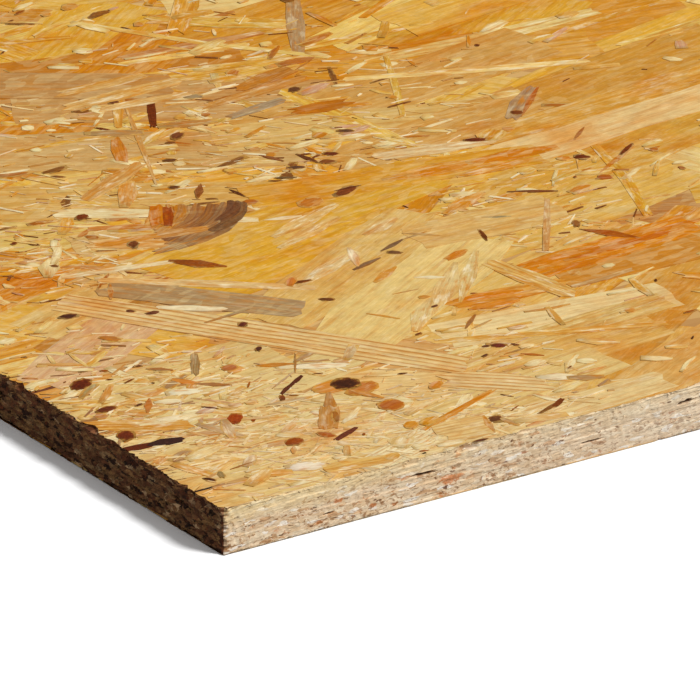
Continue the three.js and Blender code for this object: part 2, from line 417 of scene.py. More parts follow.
def sink(order, cells, inner, size):
    """Presses the strands in from the last laid to the first: each lies one step below the lowest of those over it. A
    strand that broad ones hide is left out, as -1, and so is a bit that lies too deep to show. Well inside a broad
    strand nothing below it shows, so no more steps are counted there."""
    level = np.zeros(size, np.int32)
    steps = np.full(len(cells), -1, np.int32)
    hidden, shut = np.zeros(size, bool), np.zeros(size, bool)
    for i in order[::-1]:
        over, broad = cells[i], inner[i] is not None
        step = level[over].max()
        if hidden[over].mean() > (BROAD_HIDDEN if broad else BIT_HIDDEN) or (step > DEEPEST_BIT and not broad):
            continue
        steps[i] = step
        level[over[~shut[over]]] = step + 1
        if broad:
            hidden[over] = True
            shut[inner[i][~shut[inner[i]]]] = True
    return steps


# A torn edge reaches no deeper than this. It has a point every so often, close together this near to the near corner,
# and takes up no more than this share of the width that a strand has there.
EDGE_REACH, NEAR, TORN_STEPS, TORN_SHARE = 4 * MM, 0.3, (0.9 * MM, 2.6 * MM), 0.97


def trim(polygon, top):
    """One strand (rows of X, Y and its own along and across) sawn off at the sheet's edges. It is clipped where it
    crosses the torn line of each edge, and between the two crossings it follows that line, as far as its own inner
    side leaves room."""
    for number in range(4):
        if len(polygon) < 3:
            return polygon
        along, into = to_edge(number, polygon[:, 0], polygon[:, 1])
        if into.min() > EDGE_REACH:
            continue
        rows = np.column_stack([along, into, polygon[:, 2:]])
        after = np.roll(rows, -1, axis=0)
        gap = into - arris_inset(number, along, top)
        gap_after = np.roll(gap, -1)
        crosses = (gap > 0) != (gap_after > 0)
        share = gap / np.where(crosses, gap - gap_after, 1)
        cut = rows + share[:, None] * (after - rows)
        kept = np.stack([gap > 0, crosses], -1).ravel()
        rows = np.stack([rows, cut], 1).reshape(-1, 4)[kept]
        if len(rows) < 3:
            return rows
        on_line = np.stack([np.zeros(len(gap), bool), crosses], -1).ravel()[kept]
        # The sawn side gets a point every millimetre or so.
        after = np.roll(rows, -1, axis=0)
        sawn = on_line & np.roll(on_line, -1)
        near = np.hypot(*(to_sheet(number, rows[:, 0], 0) - LOW[:2]).T) < NEAR
        pieces = 1 + (np.abs(after[:, 0] - rows[:, 0]) / np.where(near, *TORN_STEPS)).astype(int) * sawn
        step = np.arange(pieces.sum()) - np.repeat(np.cumsum(pieces) - pieces, pieces)
        share = (step / np.repeat(pieces, pieces))[:, None]
        split = np.repeat(rows, pieces, 0) + share * np.repeat(after - rows, pieces, 0)
        added = step > 0
        here = split[added, 0][:, None]
        (s0, t0), (s1, t1) = rows[~sawn, :2].T, after[~sawn, :2].T
        way = (here - s0) / np.where(np.abs(s1 - s0) < 1e-9, 1e-9, s1 - s0)
        inner = np.where((way >= 0) & (way <= 1), t0 + way * (t1 - t0), np.inf)
        line = arris_inset(number, here[:, 0], top)
        split[added, 1] = np.minimum(line, inner.min(1, initial=np.inf) * TORN_SHARE)
        polygon = np.column_stack([to_sheet(number, split[:, 0], split[:, 1]), split[:, 2:]])
    return polygon


# How far a flake's foot is drawn in on the UV map, towards its middle.
FOOT_DRAWN_IN = 0.06


def flakes(name, polygons, tops, floor, traits, box, material, core):
    """Closed flakes: every polygon is a top at its own height and a bottom at the floor, joined by upright sides. A
    plain closed slab of core comes first, then the bottoms and the sides, then the tops, the highest last."""
    order = np.argsort(np.abs(tops - floor), kind="stable")
    polygons = [polygons[i] for i in order]
    counts = np.array([len(p) for p in polygons])
    owner = np.repeat(order, counts)
    flat = np.concatenate(polygons)
    total = len(flat)
    x, y, z = np.meshgrid(*zip(*box), sorted((floor, CENTRE[2])), indexing="ij")
    slab = np.stack([x, y, z], -1).reshape(-1, 3)
    slab_faces = np.array([(0, 1, 3, 2), (4, 6, 7, 5), (0, 4, 5, 1), (2, 3, 7, 6), (0, 2, 6, 4), (1, 5, 7, 3)])
    points = np.concatenate([slab, np.column_stack([flat[:, :2], np.full(total, floor)]),
                             np.column_stack([flat[:, :2], tops[owner]])])
    # Corners of each flake, as numbers in the row of all of them: in turn, the next of each, and the other way round.
    here = np.arange(total)
    size = np.repeat(counts, counts)
    first = np.repeat(np.cumsum(counts) - counts, counts)
    onward = first + (here - first + 1) % size
    backward = first + size - 1 - (here - first)
    sides = (here, onward, onward + total, here + total)
    under, over = backward, here + total
    if tops.mean() < floor:
        sides, under, over = sides[::-1], here, backward + total
    loops = np.concatenate([slab_faces.ravel(), 8 + under, 8 + np.stack(sides, -1).ravel(), 8 + over])
    lengths = np.concatenate([np.full(6, 4), counts, np.full(total, 4), counts])
    starts = np.cumsum(lengths) - lengths
    piece = mesh_piece(name, points, loops, starts, material)
    piece.data.materials.append(core)
    face = np.arange(len(starts))
    piece.data.polygons.foreach_set("material_index", (face < 6).astype(np.int32))
    write_attribute(piece, "cut", (face >= 6 + len(counts)) & (face < 6 + len(counts) + total), "FACE")
    rows = traits[np.concatenate([owner] * 2)]
    along, across = np.concatenate([flat[:, 2:4]] * 2).T
    for label, columns, blank in (
            ("grain", (along, across, rows["seed"]), 0),
            ("habit", (rows["rings"], rows["pitch"], rows["width"] / 2), 0),
            ("span", (along / rows["length"] * 2, across / rows["width"] * 2, rows["soft"]), 0),
            ("tint", (rows["tint"], np.ones(len(rows))), 1)):
        values = np.column_stack(columns)
        write_attribute(piece, label, np.concatenate([np.full((8, values.shape[1]), blank), values]))
    # The map is the plan. A flake's foot is drawn a little inside its top, so that its sides have some width there.
    plan = points[:, :2].copy()
    centre = np.stack([traits["x"], traits["y"]], -1)[owner]
    plan[8:8 + total] += (centre - plan[8:8 + total]) * FOOT_DRAWN_IN
    low, high = plan.min(0), plan.max(0)
    plan = MAP_MARGIN + (1 - 2 * MAP_MARGIN) * (plan - low) / (high - low)
    write_map(piece, plan[loops])
    return piece


# A strand wider than this hides all that lies under its inner part. That part is shorter than the strand by this, and
# its width is this share of the strand's, less this.
WIDE, INSIDE_ENDS, INSIDE_SHARE, INSIDE_SIDES = 10 * MM, 14 * MM, 0.8, 6 * MM
# The lowest strands lie at this share of the relief.
LOWEST = 0.95


def lay_face(label, top, floor, side, seed, extra, material, core):
    """Lays one face: scatters every sort, presses the pile in, trims it to the sheet and joins it into tiles."""
    rng = np.random.default_rng(seed)
    shape = tuple(int(math.ceil(size / LAY_CELL)) + 1 for size in (LENGTH, WIDTH))
    groups = [(sort, scatter(sort, MATS[sort].dense[side], rng)) for sort in MATS]
    groups += extra
    strands = np.concatenate([group for _, group in groups])
    cells, inner, rows = [], [], []
    for cut, group in groups:
        footprint = CUTS[cut].footprint
        cells += list(cells_under(group, footprint, shape))
        within = group.copy()
        within["length"] = (group["length"] - INSIDE_ENDS).clip(MM)
        within["width"] = (group["width"] * INSIDE_SHARE - INSIDE_SIDES).clip(MM)
        wide = (group["width"] > WIDE) & (cut in ("broad", "clean"))
        found = cells_under(within, footprint, shape)
        inner += [row if shown else None for row, shown in zip(found, wide)]
        local = outlines(group, CUTS[cut], rng)
        rows += list(np.concatenate([lie(group, local), local], -1))
    steps = sink(np.argsort(strands["order"]), cells, inner, shape[0] * shape[1])
    depth = TOP_SINK * (1 - np.exp(-steps / TOP_PILE)) + (RELIEF * LOWEST - TOP_SINK) * steps / steps.max()
    tops = top + np.sign(floor - top) * depth
    low = np.array([row[:, :2].min(0) for row in rows])
    high = np.array([row[:, :2].max(0) for row in rows])
    crossing = ((low < LOW[:2] + EDGE_REACH) | (high > HIGH[:2] - EDGE_REACH)).any(1)
    for i in np.nonzero(crossing & (steps >= 0))[0]:
        rows[i] = trim(rows[i], side == 0)
    kept = (steps >= 0) & np.array([len(row) >= 3 for row in rows])
    print(label, len(strands), "thrown,", kept.sum(), "kept, deepest step", steps.max())
    tile = (np.stack([strands["x"], strands["y"]], -1) - LOW[:2]) / (HIGH - LOW)[:2] * TILES
    tile = np.floor(tile).astype(int).clip(0, np.array(TILES) - 1)
    core_box = LOW[:2] + BAR, HIGH[:2] - BAR
    pieces = []
    for i, j in np.ndindex(TILES):
        members = np.nonzero(kept & (tile == (i, j)).all(1))[0]
        box = [between(*core_box, (np.array([i, j]) + step) / TILES) for step in (0, 1)]
        pieces.append(flakes(f"{label}_strands_{i + 1}{j + 1}", [rows[k] for k in members], tops[members], floor,
                             strands[members], box, material, core))
    return pieces


# Sawn edges.

# Depth of the bars, points up their sawn side, and how many bars each edge has.
BAR, ROWS, BAR_PARTS = 12 * MM, 34, (2, 1, 2, 1)
# A bar has a section so often within this reach of the near corner, and so often beyond it.
FINE_REACH, FINE_STEP, COARSE_STEP = 0.26, 0.8 * MM, 5.0 * MM
# A pocket or chip as deep as this takes its colour in full: painted shade in a pocket, specks in a chip.
FULL_DEPTH = 2 * MM
# The UV map of a bar is strips of equal length, one above the other. Heights in a strip: the sawn side, the two inner
# corners, the first corner again, and the whole strip.
STRIPS, MAP_SIDE, MAP_INNER, MAP_CLOSED, MAP_STRIP = 8, (0.22, 0.74), (0.96, 1.18), 1.40, 1.42


def columns(number):
    """Places along an edge at which its bar has a section: close together by the near corner of the sheet, and wider
    apart away from it."""
    half = EDGES[number][0] / 2
    if number not in (0, 3):
        return np.linspace(-half, half, int(2 * half / COARSE_STEP))
    coarse = np.linspace(FINE_REACH, 2 * half, int((2 * half - FINE_REACH) / COARSE_STEP))
    away = np.concatenate([np.arange(0, FINE_REACH, FINE_STEP), coarse])
    return away - half if number == 0 else (half - away)[::-1]


# The strand ends in cuts along the strands and across them, in millimetres: mean length and greatest depth, and the
# shortest of both. They lie in this many layers, which wave by this share of each of these pitches and lie flat this
# close to the faces. A layer's knots are drawn for this length, in metres.
END_LENGTHS, END_DEPTHS, SHORTEST_END = (16, 7), (0.3, 0.95), 1.5
END_LAYERS, WAVE_PITCHES, WAVE_SHARE, FLAT_SKIN, LAYER_LENGTH = 15, (70, 33, 15), 0.016, 3, 2.8
# Crumbled fibre in either cut: size, and the step between one bit and the next, in millimetres. Its noise starts this
# far from the middle of an edge, in metres.
CRUMB_SIZES, CRUMB_STEP, CRUMB_START = (0.09, 0.24), 1.1, 1.25
# The torn line leans along the sawn side by this slope, and is this share as rough there.
TORN_LEAN, TORN_ON_SIDE = 0.35, 0.3


def strand_ends(number, along, height):
    """How far each cut strand end stands back: wavy layers, along each of which the depth runs straight from one
    random knot to the next."""
    rng = np.random.default_rng((number, 77))
    length = END_LENGTHS[number % 2] * MM
    wave = sum(knotted(along, pitch, partial(rng.normal, 0, pitch * WAVE_SHARE)) * MM for pitch in WAVE_PITCHES)
    free = np.clip(np.minimum(height, THICKNESS - height) / (FLAT_SKIN * MM), 0, 1)
    layer = np.floor((height + wave * free) / THICKNESS * END_LAYERS).clip(0, END_LAYERS - 1)
    depth = np.zeros(along.shape)
    for k in range(END_LAYERS):
        knots = np.cumsum(rng.exponential(length, int(LAYER_LENGTH / length)) + SHORTEST_END * MM) - KNOTS_REACH
        depths = rng.random(len(knots)) ** 2 * END_DEPTHS[number % 2] * MM
        here = layer == k
        depth[here] = np.interp(along[here], knots, depths)
    return depth


def crumbled(number, along, height):
    """Torn fibre ends: noise along the edge, of its own in each course."""
    rng = np.random.default_rng((number, 91))
    step = CRUMB_STEP * MM
    noise = rng.normal(0, CRUMB_SIZES[number % 2], (COURSES, int(2 * KNOTS_REACH / step))) * MM
    course = (height / COURSE).astype(int).clip(0, COURSES - 1)
    place = (along + CRUMB_START) / step
    knot = place.astype(int)
    return np.abs(between(noise[course, knot], noise[course, knot + 1], place - knot))


def sawn_inset(number, along, height):
    """How far the sawn side stands back inside its square edge."""
    inset = np.maximum(strand_ends(number, along, height), pocket_depth(number, along, height))
    torn = ragged(number, along + height * TORN_LEAN, 3) * TORN_ON_SIDE
    return inset + crumbled(number, along, height) + torn


# Heartwood strands that the front cut laid bare: places along it from the near corner, heights, lengths and
# thicknesses in millimetres.
RUDDY = ((96, 6.6, 14, 4.6), (100, 15.2, 4.5, 2.2), (98.3, 10.2, 3.4, 1.8), (145, 11.8, 5, 2.0), (49, 9.6, 6.5, 2.4),
         (77, 11.5, 9, 2.8), (73, 2.6, 4.5, 2.2), (63.6, 4.3, 4, 2), (41, 3.2, 5, 2.4), (112.3, 3.8, 3.2, 1.8),
         (133, 15.4, 7, 2.2), (128, 9.4, 5, 1.6))


def ruddy_share(number, along, height):
    """How far heartwood shows at these places of an edge: 1 in the middle of each strand of it, falling off with the
    square of the distance counted in the strand's own sizes."""
    share = np.zeros(along.shape)
    for place, rise, length, tall in RUDDY if number == 0 else ():
        off = np.hypot((along + LENGTH / 2 - place * MM) / length, (height - rise * MM) / tall) * 2 / MM
        share = np.maximum(share, 1 - off ** 2)
    return share


def edge_bars(number, material):
    """The bars of one edge: at each place along it, a profile that runs up the sawn side and back round through the
    board. The sawn side stands back by the strand ends, pockets and chips; its ends meet the next bars on the mitre,
    at the worn corner."""
    length = EDGES[number][0]
    along = columns(number)
    s, z = np.meshgrid(along, np.linspace(RELIEF, THICKNESS - RELIEF, ROWS), indexing="ij")
    pit, heartwood = pocket_depth(number, s, z), ruddy_share(number, s, z)
    chips = np.maximum(chip_inset(number, s, THICKNESS - z, True), chip_inset(number, s, z, False))
    inset = np.maximum(sawn_inset(number, s, z), chips)
    for row, top in ((-1, True), (0, False)):
        inset[:, row] = np.maximum(inset[:, row], arris_inset(number, along, top))
    worn = np.zeros(s.shape)
    for sign, corner in ((1, number), (-1, number + 1)):
        # Sections inside the worn corner are drawn together from the mitre onwards.
        a, b = worn_legs(corner, z)[::sign]
        away = length / 2 + sign * s
        inset *= np.clip(away / EDGE_REACH, 0, 1)
        mitre = a * b / (a + b)
        moved = np.where(away < a, mitre + (a - mitre) * away / a, away)
        inset = np.where(away < a, np.maximum(inset, b * (1 - moved / a)), inset)
        worn = np.maximum(worn, np.where(away < a, np.minimum(a, b), 0))
        s = sign * (moved - length / 2)
    ring_s = np.column_stack([s, np.repeat(along[:, None] * (1 - 2 * BAR / length), 2, 1)])
    ring_t = np.column_stack([inset, np.full((len(along), 2), BAR)])
    ring_z = np.column_stack([z, z[:, [-1, 0]]])
    points = np.concatenate([to_sheet(number, ring_s, ring_t), LOW[2] + ring_z[..., None]], -1)
    section = np.stack([ring_s, ring_z, np.full(ring_s.shape, float(number))], -1)
    shares = {"hollow": pit / FULL_DEPTH, "torn": np.maximum(chips, worn) / FULL_DEPTH, "ruddy": heartwood}
    around = ROWS + 2
    heights = np.concatenate([np.linspace(*MAP_SIDE, ROWS), MAP_INNER])
    bounds = np.searchsorted(along, np.linspace(-length / 2, length / 2, BAR_PARTS[number] + 1)[1:-1])
    bars = []
    for part, (a, b) in enumerate(zip([0, *bounds], [*bounds, len(along) - 1])):
        span = b - a + 1
        grid = np.arange(span * around).reshape(span, around)
        onward = np.roll(grid, -1, axis=1)
        quads = np.stack([grid[:-1], grid[1:], onward[1:], onward[:-1]], -1).reshape(-1, 4)
        loops = np.concatenate([grid[0], grid[-1, ::-1], quads.ravel()])
        starts = np.concatenate([[0, around], 2 * around + 4 * np.arange(len(quads))])
        name = f"{SIDES[number]}_sawn_edge_{part + 1}"
        bar = mesh_piece(name, points[a:b + 1].reshape(-1, 3), loops, starts, material)
        write_attribute(bar, "section", section[a:b + 1].reshape(-1, 3))
        for label, share in shares.items():
            padded = np.zeros(ring_s.shape)
            padded[:, :ROWS] = np.clip(share, 0, 1)
            write_attribute(bar, label, padded[a:b + 1].ravel())
        place = (along[a:b + 1] - along[a]) / (along[b] - along[a]) * STRIPS
        strip = np.minimum(np.floor((place[:-1] + place[1:]) / 2), STRIPS - 1)
        strip = np.repeat(strip, around)[:, None]
        u, v = np.repeat(place, around)[quads] - strip, np.tile(heights, span)[quads]
        v[around - 1::around, 2:] = MAP_CLOSED
        places = np.stack([MAP_MARGIN + (1 - 2 * MAP_MARGIN) * u, (strip + v / MAP_STRIP) / STRIPS], -1)
        write_map(bar, np.concatenate([np.full((2 * around, 2), MAP_MARGIN / 2), places.reshape(-1, 2)]))
        bars.append(bar)
    return bars


# Splinters left standing on each edge: front, right, back, left. They keep clear of the corners, and this share of
# them gathers within this reach of the near one.
SPLINTERS, SPLINTERS_CLEAR, SPLINTERS_NEAR, SPLINTERS_REACH = (1500, 1200, 600, 2600), 3 * MM, 0.65, 0.25
# This share of them stands along the upper arris, within this height below the face.
SPLINTERS_AT_ARRIS, ARRIS_HEIGHT = 0.35, 1.1 * MM
# How far they lean over, in degrees: in a cut along the strands, and in one across them.
SPLINTER_LEANS = ((60, 86), (10, 75))
# In millimetres: how deep they are rooted, their shortest, mean further and greatest length, and their thickness.
SPLINTER_ROOT, SPLINTER_LENGTHS, SPLINTER_THICKNESS = 0.15, (0.4, 0.55, 2.6), (0.07, 0.20)


def splinters(number, material):
    """Splinters that the saw left on one edge: three-sided spikes rooted in the sawn side, more of them along the
    upper arris and by the near corner. Cut across, they stand out of the side; cut along, they lie nearly flat on
    it."""
    rng = np.random.default_rng((number, 5))
    count, half = SPLINTERS[number], EDGES[number][0] / 2
    across = number % 2 == 1
    away = np.where(rng.random(count) < (SPLINTERS_NEAR if number in (0, 3) else 0),
                    rng.uniform(SPLINTERS_CLEAR, SPLINTERS_REACH, count),
                    rng.uniform(SPLINTERS_CLEAR, 2 * half - SPLINTERS_CLEAR, count))
    along = half - away if number == 3 else away - half
    at_arris = rng.random(count) < SPLINTERS_AT_ARRIS
    height = np.where(at_arris, rng.uniform(THICKNESS - ARRIS_HEIGHT, THICKNESS - RELIEF, count),
                      rng.uniform(0.3 * MM, THICKNESS - MM, count))
    inset = np.where(at_arris, arris_inset(number, along, True), sawn_inset(number, along, height))
    root = np.column_stack([to_sheet(number, along, inset + SPLINTER_ROOT * MM), LOW[2] + height])
    lean = np.radians(rng.uniform(*SPLINTER_LEANS[across], count))[:, None]
    roll = np.where(at_arris & across, rng.uniform(0, math.pi, count),
                    rng.normal(0, 0.35, count) + math.pi * rng.integers(0, 2, count))[:, None]
    out, aside = (np.append(to_sheet(number, *step) - to_sheet(number, 0.0, 0.0), 0)
                  for step in ((0.0, -1.0), (1.0, 0.0)))
    flat = np.cos(roll) * aside + np.sin(roll) * np.array([0, 0, 1.0])
    way = np.cos(lean) * out + np.sin(lean) * flat
    first = np.cross(way, np.cross(out, flat))
    first /= np.linalg.norm(first, axis=1)[:, None]
    second = np.cross(way, first)
    shortest, further, longest = SPLINTER_LENGTHS
    size = (shortest + rng.exponential(further, count)).clip(shortest, longest)[:, None] * MM
    thick = rng.uniform(*SPLINTER_THICKNESS, count)[:, None] * MM
    tip = root + way * size
    tip[:, 2] = tip[:, 2].clip(LOW[2] + 0.1 * MM, HIGH[2] + 0.8 * MM)
    # The foot's corners are a third of a turn apart.
    foot = [root + thick * (math.cos(a) * first + math.sin(a) * second * 2) for a in (0, 2.094, 4.189)]
    points = np.stack([*foot, tip], 1).reshape(-1, 3)
    faces = np.array([(0, 1, 3), (1, 2, 3), (2, 0, 3), (2, 1, 0)])
    loops = (faces[None] + 4 * np.arange(count)[:, None, None]).reshape(-1)
    piece = mesh_piece(f"{SIDES[number]}_splinters", points, loops, np.arange(4 * count) * 3, material)
    section = np.column_stack([along + rng.normal(0, 2 * MM, count), height, np.full(count, float(number))])
    write_attribute(piece, "section", np.repeat(section, 4, 0))
    # The map is a square of cells, with a splinter drawn from its tip in the middle of each.
    side = math.ceil(math.sqrt(count))
    cell = np.stack([np.arange(count) % side, np.arange(count) // side], -1)
    corner = np.array([(0.1, 0.1), (0.9, 0.1), (0.5, 0.9), (0.5, 0.4)])
    places = (cell[:, None] + corner[faces[:3].ravel()]) / side
    places = np.concatenate([places, np.zeros((count, 3, 2)) + 0.5 / side / side], 1)
    write_map(piece, places.reshape(-1, 2))
    return piece


# Materials.

def node(tree, kind, *values, out=None, **settings):
    """Adds a node with its settings and links. Its kind may be followed by its operation. The values go to its open
    sockets in turn, or to the ones that a dict names: numbers, colours or other nodes' outputs. Gives its first open
    output, or the one asked for."""
    kind, _, operation = kind.partition(" ")
    made = tree.nodes.new("ShaderNode" + kind)
    if operation:
        made.operation = operation
    for name, setting in settings.items():
        setattr(made, name, setting)
    if values and isinstance(values[0], dict):
        pairs = [(made.inputs[name], value) for name, value in values[0].items()]
    else:
        pairs = zip([socket for socket in made.inputs if socket.enabled], values)
    for socket, value in pairs:
        if isinstance(value, bpy.types.NodeSocket):
            tree.links.new(value, socket)
        else:
            socket.default_value = value
    return next((o for o in made.outputs if o.enabled), None) if out is None else made.outputs[out]


def new_material(name):
    """An empty material, and the function that adds a node to it."""
    material = bpy.data.materials.new(name)
    material.use_nodes = True
    material.node_tree.nodes.clear()
    return material, partial(node, material.node_tree)


def ink(code):
    return (*srgb(code), 1)


def stretched(add, place, sizes, shift=(0, 0, 0)):
    """Coordinates counted in steps of these sizes, in millimetres."""
    return add("VectorMath ADD", add("VectorMath DIVIDE", place, [size * MM for size in sizes]), shift)


def patches(add, place, sizes, detail=2.0, roughness=0.5, shift=(0, 0, 0)):
    """Soft noise between 0 and 1, in patches of about these sizes, in millimetres."""
    return add("TexNoise", stretched(add, place, sizes, shift), 1.0, detail, roughness)


def layered(add, colour, layers):
    """A colour under others, first to last: each is blended in by the product of its shares."""
    for way, layer, *shares in layers:
        share = reduce(partial(add, "Math MULTIPLY"), shares)
        layer = ink(layer) if isinstance(layer, str) else layer
        colour = add("Mix", share, colour, layer, data_type="RGBA", blend_type=way)
    return colour


# A pattern of this size does not vary along that axis, and one of this size is new for every seed.
EVEN, BY_SEED = 1000, 2.5


def strand_material(name, bumped):
    """Pine strand, knife cut, waxed and hot pressed, which leaves a satin face of warm yellow-brown. Every strand has
    its own tint. Fibre runs along it in fine pale and brown streaks, growth rings cross it as darker bands, and resin
    and fines from the press lie over it in warm patches and small crumbs. Wide strands were sliced from clearer wood,
    with a fainter figure, and weathered ones are grey. Bark is red-brown, blotched and broken into small plates."""
    material, add = new_material(name)
    grain, span = (add("Attribute", out="Vector", attribute_name=part) for part in ("grain", "span"))
    tint, cut = add("Attribute", attribute_name="tint"), add("Attribute", out="Fac", attribute_name="cut")
    rings, pitch, half_width = add("SeparateXYZ", add("Attribute", out="Vector", attribute_name="habit")).node.outputs
    lengthwise, _, soft = add("SeparateXYZ", span).node.outputs
    across = add("SeparateXYZ", grain, out="Y")
    place = add("TexCoord", out="Object")

    fibre = patches(add, grain, (14, 0.6, BY_SEED), 4.0, 0.7)
    streak = patches(add, grain, (34, 2.4, BY_SEED), 3.0, 0.55)
    dash = patches(add, grain, (6, 0.55, BY_SEED))
    pale_dash = patches(add, grain, (4, 0.9, BY_SEED), 1.0, shift=(3, 5, 0))
    sway = patches(add, grain, (45, 14, BY_SEED), 1.0)
    blush = patches(add, grain, (10, 2.6, BY_SEED), 3.0, 0.6, shift=(7, 2, 0))
    mottle = patches(add, place, (5, 5, 5), 4.0, 0.7)
    stain = patches(add, place, (46, 30, 46), 3.0, 0.55)
    region = patches(add, place, (150, 110, 150), 1.0, shift=(3.7, 1.3, 0))
    blotch = patches(add, place, (1.5, 1.1, 2), 3.0, 0.7)
    frayed = patches(add, place, (3.2, 2.2, 2), 3.0, 0.6)

    # Growth rings: bands a pitch apart across the strand, swaying along it.
    swayed = add("Math MULTIPLY_ADD", sway, add("MapRange", rings, 0.0, 0.9, 0.022, 0.003), across)
    band = add("Math FRACT", add("Math DIVIDE", swayed, pitch))
    late_wood = add("MapRange", band, 0.45, 0.95, 0.0, 1.0, interpolation_type="SMOOTHSTEP")

    # Crumbs: small flat bits pressed over the strands where the fines gathered.
    drifted = add("VectorMath MULTIPLY_ADD", add("TexNoise", place, 55.0, 1.0, out="Color"), (0.016, 0.016, 0), place)
    crumb = add("TexVoronoi", stretched(add, drifted, (6.5, 2.2, EVEN)), 1.0, voronoi_dimensions="2D", out="Color")
    chosen, browner, _ = add("SeparateColor", crumb).node.outputs
    gathered, crumbs = add("MapRange", region, 0.40, 0.62, 0.25, 0.85), add("MapRange", chosen, 0.55, 0.6, 0, 1)
    browner = add("MapRange", browner, 0.55, 0.9, 0, 1)
    crumb_tint = add("Mix", browner, ink("#e8cd92"), ink("#c88a3c"), data_type="RGBA")

    # Bark and knots are dark all through, so only the pale strands take the streaks.
    bright = add("RGBToBW", tint)
    light = add("MapRange", bright, 0.10, 0.22, 0.0, 1.0)
    fair = add("MapRange", bright, 0.22, 0.45, 0.2, 1.0)
    # Weathered strands are grey, and take less of the warm streaks.
    warm = add("MapRange", add("SeparateColor", tint, mode="HSV", out=1), 0.55, 0.75, 0.2, 1.0)
    # Wide strands were sliced from clearer wood, with a fainter figure and fewer blushes.
    plain = add("MapRange", half_width, 6 * MM, 13 * MM, 1.0, 0.6)
    figured = add("Math MULTIPLY", light, plain)
    patchy = add("MapRange", half_width, 4 * MM, 11 * MM, 1.0, 0.3)

    # Small bits are pressed in so hard that their outlines melt into the wood round them.
    outwards = add("VectorMath LENGTH", add("VectorMath MULTIPLY", span, (1, 1, 0)))
    outwards = add("Math MULTIPLY_ADD", add("Math SUBTRACT", frayed, 0.5), 1.2, outwards)
    around = add("Mix", add("MapRange", region, 0.35, 0.65, 0, 1), ink("#daa650"), ink("#e2bf78"), data_type="RGBA")
    dark = add("Math SUBTRACT", 1.0, light)
    # Painted shade: soft bits are darker towards one end, as if tilted away from the lamp, the pale ones less so.
    painted_tilt_shade = add("Math ADD", add("Math MULTIPLY", lengthwise, soft), add("Math MULTIPLY", light, 0.3))
    # Face strands show in the sawn edges too. Where they are cut along, their sides take the bare wood colour; where
    # they are cut across, a dull red-brown that is partly painted shade, as on those edges.
    spot = add("SeparateXYZ", place).node.outputs
    by_edge = {axis: add("MapRange", add("Math ABSOLUTE", spot[axis]), size / 2 - 5 * MM, size / 2 - 4 * MM, 0.0, 0.9)
               for axis, size in (("X", LENGTH), ("Y", WIDTH))}

    colour = layered(add, tint, (
        ("MIX", crumb_tint, gathered, crumbs, 0.4, light),
        ("MULTIPLY", "#d49c5c", late_wood, rings),
        ("MIX", "#c67a22", add("MapRange", streak, 0.50, 0.72, 0, 0.75), figured, warm),
        ("MIX", "#eed090", add("MapRange", streak, 0.48, 0.28, 0, 0.45), fair, figured),
        ("MIX", "#a45c1e", add("MapRange", dash, 0.60, 0.74, 0, 0.5), figured),
        ("MIX", "#f4dea6", add("MapRange", pale_dash, 0.60, 0.72, 0, 0.4), fair, figured),
        ("MULTIPLY", "#f0b450", add("MapRange", stain, 0.52, 0.72, 0, 0.6), light),
        ("MIX", "#d08026", add("MapRange", blush, 0.54, 0.70, 0, 0.7), patchy, figured),
        ("MIX", "#f8e8c0", add("MapRange", blush, 0.46, 0.32, 0, 0.75), patchy, fair, figured),
        # Bark is red-brown inside, all but the blackest.
        ("MIX", "#8a3c08", add("MapRange", bright, 0.012, 0.035, 0.3, 1.0), add("MapRange", light, 0, 1, 0.28, 0)),
        ("MIX", "#a8602a", dark, add("MapRange", outwards, 0.55, 0.8, 0.0, 0.55), soft),
        ("MIX", around, add("MapRange", outwards, 0.84, 0.94, 0.0, 0.9), soft),
        ("MIX", "#dfc092", by_edge["Y"], cut),
        # Partly painted shade: flake sides by the cross-cut ends take that edge's dark red-brown.
        ("MIX", "#6e3a20", by_edge["X"], cut)))

    # Painted shadow: a strand is darkened along its sides, as by the shade of the gap beside it, more sharply on a
    # narrow one.
    rim = add("Math SUBTRACT", half_width, add("Math ABSOLUTE", across))
    rim = add("Math DIVIDE", rim, add("Math MINIMUM", 0.35 * MM, add("Math MULTIPLY", half_width, 0.15)))
    shade = reduce(partial(add, "Math MULTIPLY"), (
        add("MapRange", add("Math MULTIPLY", add("Math SUBTRACT", fibre, 0.5), plain), -0.2, 0.2, 0.88, 1.18),
        add("MapRange", mottle, 0.3, 0.7, 0.88, 1.08),
        # Bark is blotched, and broken into small plates.
        add("MapRange", add("Math MAXIMUM", light, blotch), 0.35, 0.65, 0.62, 1.0),
        add("MapRange", add("Math SUBTRACT", blotch, light), 0.55, 0.75, 1.0, 1.5),
        # Painted shade of soft bits tilted from the lamp.
        add("MapRange", painted_tilt_shade, -0.45, 0.1, 0.7, 1.0),
        # Painted shadow along each strand's sides.
        add("MapRange", rim, 0.0, 1.0, 0.88, 1.0),
        # Painted shade on the flakes' cut sides.
        add("MapRange", cut, 0.0, 1.0, 1.0, 0.9)))
    # Wax and resin deepen the colour.
    colour = add("HueSaturation", {"Saturation": 1.03, "Value": 0.955, "Color": add("VectorMath SCALE", colour, shade)})
    rough = add("MapRange", fibre, 0.3, 0.7, 0.72, 0.58)
    surface = {"Base Color": colour, "Roughness": rough, "Specular IOR Level": 0.07}
    if bumped:
        relief = add("Math MULTIPLY_ADD", streak, 0.8, fibre)
        surface["Normal"] = add("Bump", {"Strength": 0.6, "Distance": 0.18 * MM, "Height": relief})
    add("OutputMaterial", add("BsdfPrincipled", surface))
    return material


def core_material():
    """The core of the mat, pressed of shorter bits and more resin: it shows between the face strands, darker and
    duller than they are."""
    material, add = new_material("pressed_core")
    place = add("TexCoord", out="Object")
    bits = add("TexVoronoi", stretched(add, place, (14, 4, EVEN)), 1.0, voronoi_dimensions="2D", out="Color")
    colour = add("Mix", add("SeparateColor", bits), ink("#b98546"), ink("#d6ab66"), data_type="RGBA")
    add("OutputMaterial", add("BsdfPrincipled", {"Base Color": colour, "Roughness": 0.8}))
    return material


